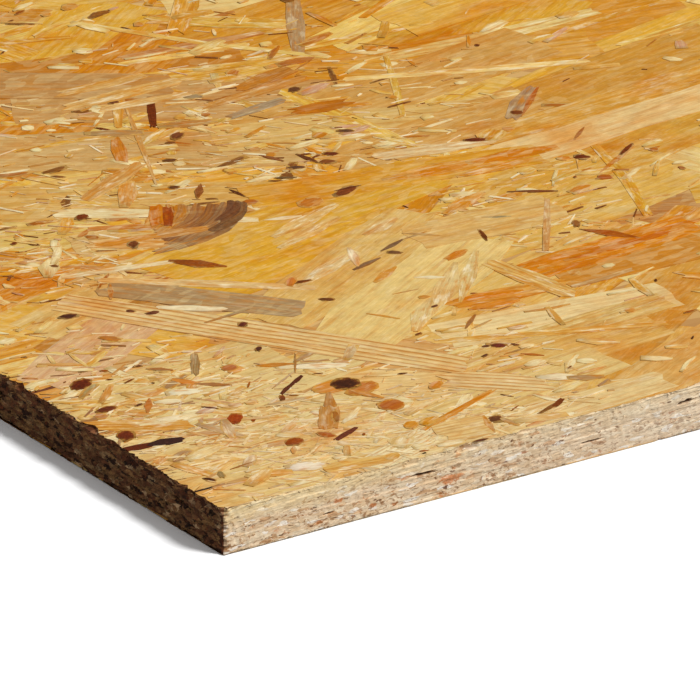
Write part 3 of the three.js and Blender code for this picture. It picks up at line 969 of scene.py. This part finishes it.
def sawn_material(name, tints, look):
    """Strands cut through by the saw, raw and dull: flat lens-shaped ends in wavy layers, each with its own tint and
    with crumbled edges, dull glue lines between them, small torn crumbs all over, ruddy heartwood, specks of bark and
    late wood, and pockets and pits darkened with painted shade. The last strands below the arris lie along the face and
    take its colour, and the cut gets paler away from the near corner."""
    material, add = new_material(name)
    long, thin = look["ends"]
    section = add("Attribute", out="Vector", attribute_name="section")
    hollow, torn, heartwood = (add("Attribute", out="Fac", attribute_name=part) for part in ("hollow", "torn", "ruddy"))
    wave = patches(add, section, (22, 7, EVEN), 2.0, 0.6)
    lift = add("CombineXYZ", 0, add("Math MULTIPLY", add("Math SUBTRACT", wave, 0.5), 4.5 * MM))
    waved = add("VectorMath ADD", section, lift)
    torn_ends = add("TexNoise", stretched(add, section, (1.5, 0.9, EVEN)), 1.0, 2.0, out="Color")
    crumbling = look["crumbling"] * MM
    waved = add("VectorMath MULTIPLY_ADD", torn_ends, (crumbling * 2, crumbling, 0), waved)
    cells = stretched(add, waved, (long, thin, EVEN))
    ends = add("TexVoronoi", cells, 1.0, voronoi_dimensions="3D", out="Color")
    edge = add("TexVoronoi", cells, 1.0, voronoi_dimensions="3D", feature="DISTANCE_TO_EDGE")
    bits = add("TexVoronoi", stretched(add, waved, (1.9, 0.8, EVEN)), 1.0, voronoi_dimensions="3D", out="Color")
    grit, rare, _ = add("SeparateColor", bits).node.outputs
    fuzz = patches(add, section, (0.9, 0.5, EVEN), 3.0, 0.7)
    cloud = patches(add, section, (18, 5, EVEN), 3.0, 0.6, shift=(5, 3, 0))
    dots = patches(add, waved, (1.7, 1.1, EVEN), 2.0, 0.55, shift=(2, 7, 0))
    holes = patches(add, waved, (long * 1.1, thin * 1.4, EVEN), 2.0, 0.6, shift=(9, 4, 0))
    stain = patches(add, waved, (11, 3.2, EVEN), shift=(1, 8, 0))
    gathered = patches(add, section, (13, 6, EVEN), shift=(4, 6, 0))

    # Each end takes one of the tints, by their shares.
    tone = add("ValToRGB", add("SeparateColor", ends))
    band = tone.node.color_ramp
    band.interpolation = "CONSTANT"
    at = 0.0
    for place, (code, share) in enumerate(tints.items()):
        stop = band.elements[0] if place == 0 else band.elements.new(at)
        stop.position, stop.color = at, ink(code)
        at += share
    band.elements.remove(band.elements[-1])

    ruddy = add("Math MULTIPLY_ADD", heartwood, 0.45, stain)
    ruddy = add("Math MULTIPLY_ADD", add("Math SUBTRACT", dots, 0.5), 0.8, ruddy)
    specks = add("Math MULTIPLY_ADD", gathered, 0.4, dots)
    # The fringe: face strands below the upper arris, strongest by the near corner. Along the strands it takes their
    # colour; across them its red-brown is painted bounce light from the face above.
    fringe, share, reach = look["fringe"]
    away, rise = add("SeparateXYZ", section, out="X"), add("SeparateXYZ", waved, out="Y")
    rise = add("Math MULTIPLY_ADD", cloud, 3 * MM, rise)
    corner = -LENGTH / 2
    colour = layered(add, tone, (
        ("MIX", look["line"], add("MapRange", edge, 0.0, 0.08, 0.30, 0.0)),
        ("MIX", look["line"], add("MapRange", cloud, 0.52, 0.75, 0, 0.45)),
        ("MIX", look["ruddy"], add("MapRange", ruddy, 0.66, 0.84, 0, 0.8)),
        ("MIX", look["speck"], add("MapRange", specks, look["specks_from"], look["specks_from"] + 0.07, 0, 0.75)),
        ("MIX", look["speck"], add("MapRange", rare, 0.95, 0.96, 0, 0.6)),
        ("MIX", fringe, add("MapRange", rise, THICKNESS - reach * MM, THICKNESS + 0.6 * MM, 0, share),
         add("MapRange", away, corner + 30 * MM, corner + 110 * MM, 1.0, 0.45)),
        ("MIX", "#e6dccb", add("MapRange", away, corner + 90 * MM, corner + 190 * MM, 0, look["paler"])),
        # Painted shade: dark pits where holes would be, with none in the mesh.
        ("MIX", look["pit"], add("MapRange", holes, look["pits_from"], look["pits_from"] + 0.05, 0, 0.9)),
        ("MIX", look["speck"], add("MapRange", torn, 0.0, 1.0, 0, 0.6)),
        # Painted shade in the pockets, darker with their depth.
        ("MIX", look["pit"], add("MapRange", hollow, 0.15, 0.8, 0, 0.9))))
    rough = look["grit"]
    shade = add("Math MULTIPLY", add("MapRange", fuzz, 0.3, 0.7, 1.04 - rough, 1.04 + rough),
                add("MapRange", grit, 0.0, 1.0, 1 - rough, 1 + rough))
    relief = add("MapRange", edge, 0.0, 0.15, 0.0, 1.0)
    relief = add("Math MULTIPLY_ADD", relief, 0.5, add("Math ADD", fuzz, grit))
    bump = add("Bump", {"Strength": 0.36, "Distance": 0.16 * MM, "Height": relief})
    surface = {"Base Color": add("VectorMath SCALE", colour, shade), "Roughness": 0.85, "Specular IOR Level": 0.25,
               "Normal": bump}
    add("OutputMaterial", add("BsdfPrincipled", surface))
    return material


# Camera, light and floor.

# The width of the view and where in it the corner's upper point falls, in pixels, and how large the board is in it.
VIEW, CORNER_PIXEL, PIXELS_PER_MM = 700, (223.0, 509.6), 2.83
CAMERA_AZIMUTH, CAMERA_ELEVATION = math.radians(-33.4), math.radians(23.4)
CAMERA_DISTANCE, CAMERA_CLIP, SENSOR_MM = 11.0, (0.05, 500.0), 36.0
# The strength of the light from all round. Then the lamp: its strength, how wide it is in degrees, and where it stands.
AMBIENT, LAMP = 0.34, (2.85, 14, (0.42, -0.62, 0.85))
FLOOR_HALF, FLOOR_BELOW = 300.0, 0.05 * MM


def add_camera():
    """A long lens over the near corner, aimed so that the corner's upper point falls on its place in the view."""
    data = bpy.data.cameras.new("camera")
    data.sensor_width = SENSOR_MM
    data.lens = SENSOR_MM * CAMERA_DISTANCE / (VIEW / PIXELS_PER_MM * MM)
    data.clip_start, data.clip_end = CAMERA_CLIP
    camera = bpy.data.objects.new("camera", data)
    bpy.context.scene.collection.objects.link(camera)
    level = math.cos(CAMERA_ELEVATION)
    back = Vector((math.sin(CAMERA_AZIMUTH) * level, -math.cos(CAMERA_AZIMUTH) * level, math.sin(CAMERA_ELEVATION)))
    turn = back.to_track_quat("Z", "Y")
    right, up = turn @ Vector((1, 0, 0)), turn @ Vector((0, 1, 0))
    step = MM / PIXELS_PER_MM
    aim = (Vector((LOW[0], LOW[1], HIGH[2])) + right * (VIEW / 2 - CORNER_PIXEL[0]) * step
           + up * (CORNER_PIXEL[1] - VIEW / 2) * step)
    camera.rotation_euler = turn.to_euler()
    camera.location = aim + back * CAMERA_DISTANCE
    bpy.context.scene.camera = camera


def add_sun(name, strength, soft_degrees, towards):
    data = bpy.data.lights.new(name, "SUN")
    data.energy = strength
    data.angle = math.radians(soft_degrees)
    sun = bpy.data.objects.new(name, data)
    sun.rotation_euler = Vector(towards).to_track_quat("Z", "Y").to_euler()
    bpy.context.scene.collection.objects.link(sun)


def add_world(strength):
    """Even light from all round, and plain white where the camera sees past the floor."""
    world = bpy.data.worlds.new("studio")
    bpy.context.scene.world = world
    world.use_nodes = True
    world.node_tree.nodes.clear()
    add = partial(node, world.node_tree)
    rays = add("LightPath").node.outputs
    seen = add("Math MAXIMUM", rays["Is Camera Ray"], rays["Is Transmission Ray"])
    light = add("MapRange", seen, 0.0, 1.0, strength, 1.0)
    add("OutputWorld", add("Background", (1, 1, 1, 1), light))


def add_floor():
    """Plain white studio floor, of matt paper: seen, it is white where the lamps reach it and grey in the shadow, and
    it throws little light back under the sheet."""
    material, add = new_material("studio_floor")
    seen = add("LightPath")
    tone = add("MapRange", seen, 0.0, 1.0, 0.30, 1.15)
    colour = add("CombineXYZ", tone, tone, tone)
    add("OutputMaterial", add("BsdfDiffuse", colour))
    corners = np.array([[-1, -1], [1, -1], [1, 1], [-1, 1]]) * FLOOR_HALF + CENTRE[:2]
    points = np.column_stack([corners, np.full(4, LOW[2] - FLOOR_BELOW)])
    mesh_piece("floor", points, np.arange(4), [0], material)


# Strands that lie just so on the upper face by the near corner, first to last laid: cut, from X and Y, to X and Y and
# width in millimetres, tint, and where it shows growth rings their strength and pitch, and how far it bends.
NEAR_CORNER = (
    # Smooth strands, first to last laid.
    ("broad", 67, 284, 171, 224, 34, "#d4a65a", 0.1, 5), ("broad", 100, 318, 204, 258, 34, "#cca264", 0.1, 5),
    ("broad", 137, 350, 241, 290, 36, "#c6965a", 0.1, 5), ("clean", 132, 374, 194, 333, 24, "#bb8a52", 0.1, 5),
    ("broad", 196, 278, 330, 296, 34, "#cf9a50", 0.1, 5), ("broad", 180, 282, 290, 246, 26, "#d8b068", 0.1, 5),
    ("broad", 268, 240, 390, 262, 34, "#cd9440", 0.1, 5), ("broad", 230, 176, 350, 206, 36, "#d7a44a", 0.1, 5),
    ("broad", 196, 146, 310, 166, 32, "#dcae56", 0.1, 5), ("broad", 30, 170, 130, 206, 24, "#dcb46c", 0.1, 5),
    ("broad", 84, 226, 150, 214, 24, "#d8b06e", 0.1, 5), ("clean", 96, 190, 228, 214, 34, "#daa43c", 0.08, 6),
    ("clean", 98, 166, 196, 186, 28, "#dfa83c", 0.06, 6), ("clean", 256, 211, 372, 222, 26, "#e6c284", 0.1, 5),
    ("clean", 262, 228, 372, 236, 16, "#d69c44", 0.1, 5), ("clean", 160, 230, 272, 206, 22, "#d99c38", 0.16, 5),
    ("broad", 205, 238, 300, 252, 26, "#cf9a50", 0.1, 5), ("clean", 106, 130, 205, 184, 30, "#dcb266", 0.1, 6),
    ("clean", 116, 98, 212, 156, 36, "#e6c57c", 0.06, 6), ("broad", 150, 92, 262, 132, 34, "#e0b664", 0.1, 5),
    ("broad", 150, 86, 240, 74, 26, "#eacf94", 0.2, 4), ("broad", 140, 62, 236, 70, 16, "#dcb870", 0.2, 4),
    ("broad", 128, 47, 222, 53, 22, "#dcb062", 0.1, 5), ("broad", 96, 24, 190, 40, 26, "#e0bf7a", 0.16, 5),
    ("broad", 8, 128, 68, 162, 27, "#d8ac80", 0.06, 6), ("broad", -20, 30, 96, 34, 22, "#e4c684", 0.16, 4),
    ("broad", -16, 10, 88, 9, 18, "#e2c07b", 0.12, 5), ("broad", -8, 52, 96, 55, 22, "#dec080", 0.12, 5),
    ("broad", 86, 6, 196, 11, 18, "#e4c68a", 0.1, 5), ("broad", -8, 100, 92, 112, 30, "#dcbc7a", 0.1, 5),
    ("broad", 20, 76, 120, 90, 24, "#e0c484", 0.08, 5), ("broad", 66, 4, 102, 17, 15, "#ecdaaa", 0.55, 1.8),
    ("clean", 52, 188, 142, 60, 19, "#e3c182", 0.85, 3.2), ("clean", 73, 190, 121, 134, 17, "#aa8a60", 0.12, 2.2),
    ("narrow", 76, 196, 136, 148, 6, "#e2bd80", 0.2, 3), ("narrow", 130, 54, 157, 28.5, 18, "#e4c488", 0.8, 3),
    ("narrow", -2, 90, 30, 70, 11, "#deaa58", 0.9, 1.6), ("narrow", 168, 109, 212, 102, 12, "#dd9c44", 0.4, 3),
    ("broad", 214, 108, 314, 104, 24, "#ca8636", 0.1, 5), ("clean", 204, 117, 282, 123, 18, "#dc8416", 0.3, 3),
    ("sliver", 206, 124, 262, 121, 6.5, "#d47814", 0.2, 2), ("sliver", 214, 118.5, 252, 117, 5, "#d8821e", 0.2, 2),
    ("sliver", 236, 122.5, 292, 124, 6, "#d07414", 0.2, 2), ("sliver", 212, 113.3, 246, 112.5, 5, "#ce7416", 0.2, 2),
    ("sliver", 226, 119.4, 276, 120.5, 5, "#c8640c", 0.2, 2), ("sliver", 172, 110.5, 197, 105.5, 6, "#d98424", 0.2, 2),
    ("sliver", 172, 101, 191, 98.5, 5, "#dc9440", 0.2, 2), ("sliver", 212, 216.5, 256, 210, 11, "#d88a20", 0.2, 2),
    ("sliver", 220, 215, 246, 211.5, 6, "#d27c16", 0.2, 2), ("clean", 190, 166, 250, 162, 24, "#dcb068", 0.1, 5),
    ("sliver", 246, 213, 280, 207.5, 10, "#d27a16", 0.2, 2), ("sliver", 236, 205, 270, 203, 6, "#d98c30", 0.2, 2),
    ("sliver", 213, 178.5, 234, 187.5, 7, "#d88e34", 0.2, 2), ("narrow", 222, 236, 264, 225, 9, "#e0c08a", 0.1, 3),
    ("narrow", 218, 288, 241, 284, 9, "#b86a20", 0.2, 3), ("narrow", 98, 20, 138, 36, 3.4, "#d98e34", 0.2, 3),
    ("narrow", 40, 76, 16, 80, 5, "#e9d3a0", 0.1, 3), ("narrow", 66, 206, 108, 196, 4, "#e6d0a0", 0.1, 3),
    ("sliver", 132, 152, 166, 167, 8, "#e2c68e", 0.1, 3), ("sliver", 178, 178.5, 195.4, 185.2, 7, "#dfbe84", 0.1, 3),
    ("sliver", 190.6, 138.3, 159.6, 105.4, 9, "#dfc082", 0.1, 3),
    ("sliver", 202.4, 143.3, 173.2, 109.2, 6, "#dec080", 0.1, 3),
    ("sliver", 164.8, 116.9, 145, 96, 8, "#e0c284", 0.1, 3), ("sliver", 157, 154, 170.6, 157.9, 3, "#8a6a48", 0.1, 3),
    ("sliver", 174.6, 162.7, 187, 167.3, 2.4, "#86684a", 0.1, 3),
    ("sliver", 187, 167.3, 198, 168.6, 1.4, "#a57a48", 0.1, 3),
    ("sliver", 166.6, 171.2, 160, 156, 4, "#e0bc92", 0.1, 3), ("narrow", 201, 133, 210, 94, 11, "#dcae60", 0.5, 2.6),
    ("narrow", 86, 143, 106, 145, 1.8, "#9a7a52", 0.1, 3), ("sliver", 150, 195, 184, 207, 9, "#deb068", 0.1, 3),
    ("sliver", 146, 186, 178, 197, 8, "#e0b46c", 0.1, 3), ("narrow", 94, 257, 127, 236, 10, "#e8d29c", 0.1, 3),
    ("narrow", 98, 238, 124, 225, 4.5, "#c77a34", 0.2, 3), ("narrow", 90, 226, 118, 208, 9, "#dca866", 0.3, 3),
    ("clean", 118, 226, 132, 239, 9, "#c8863a", 0.4, 2),
    ("clean", 118.4, 223.5, 135, 239, 7, "#bc7830", 0.5, 1.8, 2.6),
    ("clean", 117.4, 220.2, 139, 236.5, 7, "#b2783c", 0.5, 1.8, 3.2),
    ("clean", 116.4, 216.8, 143, 234.1, 7, "#a06c3e", 0.5, 1.8, 3.8),
    ("clean", 115.5, 213.2, 147.5, 231.6, 7, "#946742", 0.5, 1.8, 4.4),
    ("clean", 114.5, 209.8, 152, 229.2, 7, "#946e48", 0.5, 1.8, 5),
    ("clean", 113.5, 206.2, 156.5, 226.8, 6.5, "#9a744c", 0.5, 1.8, 5.5),
    ("narrow", 106, 206, 124, 207.5, 5, "#a07a50", 0.5, 1.6), ("narrow", 114, 219, 134, 215, 7, "#c08444", 0.5, 2),
    ("narrow", 120.2, 227, 129.4, 241.2, 6.5, "#c66a1e", 0.3, 2.4),
    ("narrow", 123.6, 225, 132, 238.6, 4, "#b24c12", 0.3, 2.4), ("narrow", 92, 223, 116, 219, 5, "#cf8a3c", 0.3, 3),
    ("narrow", 158, 311, 174, 336, 4.5, "#d6a04c", 0.2, 3), ("narrow", 281, 239, 304, 259, 7.5, "#a98460", 0.2, 3),
    # Bits that catch the eye.
    ("narrow", -2, 64.2, 13, 62, 4.4, "#5e2a1c"), ("narrow", 9, 62.9, 22, 60, 5.4, "#2e2322"),
    ("fleck", 4.5, 71, 9.5, 77, 6, "#6a2c1e"), ("fleck", 10, 97, 18, 97.5, 4.2, "#6e3826"),
    ("fleck", 14, 118, 23, 124, 6.5, "#5c2418"), ("chip", 12, 111, 23, 118, 3.2, "#a8905c"),
    ("narrow", 23, 78, 33, 77, 5.5, "#eedcb2", 0.1, 2), ("knot", 94, 61, 107, 65, 8, "#c27436"),
    ("knot", 85, 70, 100, 70, 9, "#d68c44"), ("knot", 92.5, 69.5, 103, 70, 9.5, "#3a2418"),
    ("sliver", 96, 64, 102, 52, 3.5, "#c98a4a", 0.3, 2), ("knot", 96.5, 44, 105.5, 45.5, 8.5, "#b9662e", 0.3, 2),
    ("narrow", 73.5, 74.5, 82, 80, 2, "#5e3626"), ("narrow", 81, 79.5, 89, 84.5, 2, "#543024"),
    ("fleck", 71, 69.5, 73, 73.5, 2, "#8a4c2c"), ("fleck", 44.5, 61.5, 50.5, 68.5, 6, "#b4441c"),
    ("chip", 34, 68, 42, 50, 4.4, "#bf9a70"), ("chip", 44, 66, 38, 52, 4.4, "#c6a27a"),
    ("chip", 39, 76, 48, 78, 4.6, "#cfaa8c"), ("sliver", 43.5, 80.5, 47.5, 76, 1.6, "#5c4036"),
    ("sliver", 25, 87, 32, 97, 2.8, "#bb6c2e"), ("fleck", 24.5, 94, 27.5, 94.5, 1.4, "#4e3026"),
    ("sliver", 48.5, 107, 54, 98, 4.5, "#cd7a2e"), ("sliver", 53, 99, 63, 91, 3, "#a56c3c"),
    ("knot", 68.2, 104, 74, 105, 4.6, "#b3683a"), ("fleck", 87.8, 111.5, 90.4, 114.5, 2.4, "#46342c"),
    ("narrow", 57.6, 106.4, 67.4, 121.6, 4, "#a08050", 0.6, 1.2), ("sliver", 46, 120, 53, 114, 2.6, "#9c6c44"),
    ("sliver", 77, 48, 88.5, 66, 4.5, "#b07a44", 0.15, 2), ("clean", 71, 40, 82, 56, 7.5, "#bd8748", 0.15, 2),
    ("chip", 76.5, 43, 81, 51, 2.6, "#a06a34"), ("knot", 121, 49, 127, 53, 3.8, "#cd8038"),
    ("narrow", 44, 39, 55, 37, 4.5, "#c9a478", 0.2, 2), ("knot", 50.6, 35.6, 57.6, 37.4, 5.3, "#ae4e1e"),
    ("fleck", 65.5, 38.5, 68.5, 32.5, 3.6, "#b0602c"), ("narrow", 67, 29.5, 79, 34.5, 3.2, "#744030"),
    ("knot", 94.5, 24.5, 99.5, 28, 4.8, "#d08a30"), ("fleck", 15.5, 24, 17.5, 29, 2.6, "#9a8456"),
    ("sliver", 22, 28.5, 32, 29.5, 1, "#9c6a3a"), ("sliver", 102, 20, 114, 27.5, 2.4, "#d8923a"),
    ("sliver", 110, 26, 139, 35.5, 2.3, "#c87618"), ("chip", 110, 88, 119, 97, 5, "#cdae7e", 0.2, 3),
    ("narrow", 92, 92, 107, 84, 5.5, "#f0e0b8", 0.1, 3), ("narrow", 80, 164, 98, 150, 5, "#eedcb0", 0.1, 3),
    ("chip", 40, 97.5, 52, 93, 5, "#f0e2bc"), ("chip", 32, 93, 41, 89, 4, "#ecdab0"),
    ("chip", 39, 18, 52, 13.5, 7, "#f0dfc4"), ("chip", 29, 18.5, 38.5, 14.5, 5.5, "#e0a860"),
    ("fleck", 160, 69.5, 165, 66.8, 3.1, "#77362e"), ("fleck", 157, 70.5, 159.5, 70, 1.4, "#5a3a30"),
    ("fleck", 167, 67, 168.6, 64.5, 1.4, "#6e4636"), ("fleck", 152, 63, 154.6, 63.8, 1.6, "#5a4434"),
    ("sliver", 160, 60.6, 171, 61.2, 0.8, "#a07c52"), ("sliver", 161, 87.5, 171, 96, 2.1, "#a06c3c"),
    ("sliver", 163, 86, 173, 89, 1, "#b98c54"), ("sliver", 165, 57.5, 171, 52, 1.5, "#b5672e"),
    ("chip", 158, 36, 170, 30, 7.5, "#e4cfa6", 0.1, 3), ("chip", 167, 30, 178, 24.5, 4.5, "#b3895a"),
    ("fleck", 122.5, 12.5, 127.5, 15.5, 4.6, "#6e4c30"), ("fleck", 127, 13, 129, 5, 2.8, "#b08656"),
    ("sliver", 140.5, 9.4, 155, 15.4, 2.2, "#96602e"), ("narrow", 149, 12, 155, 15.8, 2.6, "#8a4a24"),
    ("sliver", 131, 2.5, 141, 3.6, 2.6, "#c87c3e"), ("clean", 101.5, 14, 120.5, 11.5, 17, "#dfba78", 0.4, 3),
    ("chip", 101, 23.5, 108.5, 27, 5, "#d9942c"), ("sliver", 118, 4.5, 123, 18.5, 2.6, "#c07620"),
    ("fleck", 106, 0.9, 113, 1, 1.8, "#5e3c2a"), ("clean", 50, 10, 75, 5.8, 8, "#dfb264", 0.3, 3),
    ("chip", 63, 16, 68, 23, 3, "#cda064", 0.1, 3), ("chip", 20, 13, 33, 21, 5.5, "#d9a660", 0.1, 3),
    ("chip", 7, 43, 13, 29, 5.5, "#dfa85e", 0.1, 3), ("chip", 130, 8, 148, 4, 6, "#dcb070", 0.1, 3),
    ("sliver", 80, 100.3, 92, 94.8, 3.4, "#c07c34"), ("sliver", 97.4, 101.6, 88.6, 88.3, 0.9, "#a8743c"),
    ("fleck", 118, 66.5, 121.4, 65.5, 1.3, "#4a3626"), ("knot", 73, 5.3, 79, 7.6, 4.2, "#d69c48"),
    ("sliver", 48, 28, 52, 33.5, 2.2, "#c99860"),
    # Farther from the corner.
    ("fleck", 45, 176, 51.5, 174, 3.7, "#3e2c24"), ("fleck", 72.5, 161.5, 77.5, 160.5, 3.2, "#6a4330"),
    ("fleck", 68, 167.6, 70.5, 165.6, 2.2, "#70462e"), ("sliver", 69.5, 180, 76.5, 191, 2.2, "#b9783a"),
    ("sliver", 106, 197, 120, 182, 6, "#a4541f"), ("fleck", 132, 138.5, 136, 135, 2.6, "#6e4628"),
    ("fleck", 94.5, 133, 98, 136, 3.2, "#5c302a"), ("fleck", 132.5, 155.5, 139, 154.5, 2.2, "#7c4420"),
    ("fleck", 129.5, 154, 134.5, 160, 3.6, "#c8702a"), ("sliver", 157, 140.5, 171, 147.5, 4.2, "#d18c38"),
    ("fleck", 190, 143, 200, 147, 4.4, "#cf7c2c"), ("fleck", 161.5, 110, 164.5, 110.8, 1.7, "#6e4a34"),
    ("fleck", 101.5, 214.5, 105, 219.5, 3.6, "#764626"), ("fleck", 99, 247, 104, 249.5, 3.8, "#7e3c20"),
    ("narrow", 168.5, 304, 183, 328, 3.4, "#743416"), ("narrow", 142, 284, 151, 302, 6.5, "#c87a30", 0.2, 2),
    ("sliver", 141, 260, 176, 337, 2.4, "#c8904c"), ("chip", 120, 248, 133, 266, 7, "#d4924a"),
    ("fleck", 189, 214, 199.5, 217.5, 4.4, "#8c4a26"), ("sliver", 191, 218, 201.5, 217.2, 1.4, "#5e3020"),
    ("fleck", 206.4, 248.9, 211, 245.8, 3.2, "#6e3420"), ("knot", 263, 227, 272, 233, 8, "#d39a3c", 0.2, 2),
    ("fleck", 256, 231.6, 263, 227, 3.6, "#6e2f1c"), ("fleck", 281, 196.6, 285.4, 193.6, 3.8, "#72341c"),
    ("narrow", 192, 309, 240, 312, 6, "#c98e48", 0.2, 2), ("narrow", 214, 317, 240, 322, 9, "#ba7e3a", 0.2, 2),
    ("narrow", 112, 262, 146, 278, 8, "#d2a260", 0.3, 3), ("narrow", 196, 296, 221, 299, 6, "#a58a68", 0.2, 2),
    ("sliver", 286, 239, 306, 258, 2.6, "#b8642c"), ("fleck", 284, 243.1, 288.4, 241.6, 4, "#8a4a24"),
    ("narrow", 224, 130, 251.5, 170, 3, "#cb985e", 0.2, 2), ("sliver", 243, 183, 258, 174, 2.2, "#8c5634"),
    ("sliver", 246, 140, 259, 122, 5, "#b4561a"), ("fleck", 211.8, 150, 214.8, 159.4, 1.9, "#74401c"),
    ("fleck", 246, 142.5, 248.5, 147.5, 2.8, "#9a6434"), ("narrow", 214, 98, 241, 99, 3.5, "#c09058", 0.2, 2),
    ("sliver", 190, 172, 200, 163, 2.2, "#b88a50"), ("fleck", 228, 303.5, 233, 306, 4, "#6a4a2e"),
    ("fleck", 168, 290, 174, 294, 4, "#7e4c2e"), ("sliver", 146, 240, 154, 250, 3, "#9c5a2a"),
    ("sliver", 198, 254, 200.5, 243, 2.4, "#6e4428"), ("fleck", 167, 332, 171, 330.5, 3, "#7a4c30"),
    ("fleck", 193, 321, 199, 318, 3, "#8a7658"), ("fleck", 142.5, 253.5, 146, 252, 2.6, "#6e4a2c"),
    ("fleck", 154, 275.5, 159, 273.5, 2.6, "#6a4a2c"), ("sliver", 171.4, 136, 181, 130, 2.6, "#ecdcae"),
    ("sliver", 139, 118, 146, 108, 1.6, "#cf9444"), ("sliver", 156.5, 127.6, 166.7, 126.4, 0.9, "#b98a50"),
    ("fleck", 162.5, 119.6, 166.3, 119.2, 2.6, "#c98c40"), ("fleck", 175.9, 160.8, 179.8, 157.2, 2.6, "#7a5e40"),
    ("fleck", 201, 243.5, 206, 241, 3.4, "#94562c"), ("fleck", 189, 245, 194, 242.5, 2.6, "#5e4c3a"),
    ("sliver", 179.5, 240, 186, 236, 1.8, "#74603e"), ("fleck", 222, 264, 227, 261, 2.8, "#665238"),
    ("sliver", 186.5, 260.5, 190.5, 251.5, 2.6, "#9c5a2c"), ("sliver", 160, 240, 161, 232, 1.8, "#5a3a22"),
    ("fleck", 157.5, 227.5, 162.5, 225.5, 4.6, "#b8662c"), ("knot", 173, 213, 182.5, 215, 7, "#c47c34"),
    ("sliver", 155, 209.5, 168, 205.5, 3, "#f0deb4"), ("chip", 144, 216.5, 153, 211.5, 5, "#ecd9aa"),
    ("sliver", 280.4, 179.3, 304.4, 193.3, 2.2, "#c07028"), ("fleck", 296, 189, 305, 195, 1.8, "#84401e"),
    ("fleck", 275, 199, 279, 196.5, 3.4, "#d07a24"), ("fleck", 273, 232.6, 277, 230.2, 3.4, "#cc7a26"),
    ("fleck", 277, 176.5, 282, 173.5, 4.4, "#b45c28"), ("sliver", 222, 168.5, 231, 163.5, 2, "#9a8458"),
    ("sliver", 290, 210, 299, 217.5, 1.8, "#a8683c"), ("chip", 145, 312, 162, 302, 5.5, "#ae8858", 0.2, 2),
    ("chip", 171, 303, 190, 296, 5.5, "#b8935e", 0.2, 2), ("clean", 134, 212, 157, 228, 5.5, "#80603e", 0.5, 1.6, 3.4),
    ("clean", 141, 218, 155, 230, 5, "#7c583c", 0.5, 1.6, 2), ("narrow", 152, 336, 199, 335.5, 9, "#d8a65c", 0.2, 2),
    ("narrow", 156, 348, 193, 346, 8, "#cf9a50", 0.2, 2), ("narrow", 160, 328, 196, 323, 6, "#dcae68", 0.2, 2),
)
# Rings, their pitch and the bend of a strand whose row doesn't give them.
PLAIN = (0, 2, 0)
# A soft outline melts away, so a strand that has one is drawn larger by up to this share.
SOFT_SWELL = 0.15
# Broad strands lie just over the scattered broad ones, and the rest over everything scattered, a step apart.
OVER_BROAD, OVER_ALL, ROW_STEP = 1.05, 1.5, 1e-4


def placed(rows):
    """The strands of such rows, one to a group, laid in the order they are listed."""
    groups = []
    for place, (cut, x0, y0, x1, y1, width, tint, *more) in enumerate(rows):
        rings, pitch, bow = (*more, *PLAIN[len(more):])
        strand = np.zeros(1, TRAITS)
        turn = math.atan2(y1 - y0, x1 - x0)
        strand["x"] = LOW[0] + ((x0 + x1) / 2 + bow / 2 * math.sin(turn)) * MM
        strand["y"] = LOW[1] + ((y0 + y1) / 2 - bow / 2 * math.cos(turn)) * MM
        strand["turn"], strand["bow"] = turn, bow * MM
        swell = 1 + SOFT_SWELL * CUTS[cut].soft
        strand["length"] = math.hypot(x1 - x0, y1 - y0) * swell * MM
        strand["width"] = width * swell * MM
        strand["order"] = (OVER_BROAD if cut == "broad" else OVER_ALL) + place * ROW_STEP
        strand["tint"] = srgb(tint)
        strand["rings"], strand["pitch"] = rings, pitch * MM
        strand["seed"], strand["soft"] = fraction(place, 0), CUTS[cut].soft
        groups.append((cut, strand))
    return groups


# The sheet.

bpy.context.scene.view_settings.view_transform = "Standard"
add_camera()
add_world(AMBIENT)
add_sun("key", *LAMP)
add_floor()

upper_strands = strand_material("pressed_pine_strands_upper", True)
under_strands = strand_material("pressed_pine_strands_under", False)
core = core_material()
# The tints of the strand ends in each kind of cut and how much of it each covers. Then the length and thickness of the
# ends in millimetres, the colours of what lies between and over them, where their patterns begin, how much paler the
# cut gets, the fringe below the arris (colour, share and reach in millimetres), how far the ends crumble in
# millimetres, and how much the fine grit darkens and lightens them.
LONG_CUT = {"#e6cba8": 0.33, "#ebd4b2": 0.26, "#dfc098": 0.22, "#f2e6d4": 0.10, "#dabc96": 0.06, "#c89e74": 0.03}
# Cut across the strands the ends are darker than along them: partly the end grain's own colour, partly painted shade,
# as if both ends lay in shade. The near-black lines and pits of that cut are painted shade in the same way.
CROSS_CUT = {"#805836": 0.28, "#90683e": 0.24, "#6c4227": 0.20, "#3a1e0e": 0.14, "#9c7850": 0.08, "#bc9870": 0.06}
ALONG_LOOK = {"ends": (4.2, 1.3), "line": "#cfab84", "pit": "#6e4426", "pits_from": 0.65, "speck": "#94602f",
              "specks_from": 0.80, "ruddy": "#c46c26", "paler": 0.20, "fringe": ("#ecd29a", 0.75, 6.5),
              "crumbling": 1.2, "grit": 0.05}
# Across the strands the red-brown fringe below the arris is painted bounce light.
ACROSS_LOOK = {"ends": (3.4, 1.6), "line": "#32190b", "pit": "#160802", "pits_from": 0.59, "speck": "#743c20",
               "specks_from": 0.80, "ruddy": "#7e4222", "paler": 0, "fringe": ("#70381c", 0.7, 3.0),
               "crumbling": 2.0, "grit": 0.36}
along_cut = sawn_material("sawn_along_the_strands", LONG_CUT, ALONG_LOOK)
across_cut = sawn_material("sawn_across_the_strands", CROSS_CUT, ACROSS_LOOK)

pieces = lay_face("upper", HIGH[2], HIGH[2] - RELIEF, 0, 11, placed(NEAR_CORNER), upper_strands, core)
pieces += lay_face("under", LOW[2], LOW[2] + RELIEF, 1, 12, [], under_strands, core)
for number in range(4):
    material = across_cut if number % 2 else along_cut
    pieces += [*edge_bars(number, material), splinters(number, material)]

for piece in pieces:
    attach(piece, "root")
    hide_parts("osb_panel")

print("triangles", sum(len(p.vertices) - 2 for piece in pieces for p in piece.data.polygons))
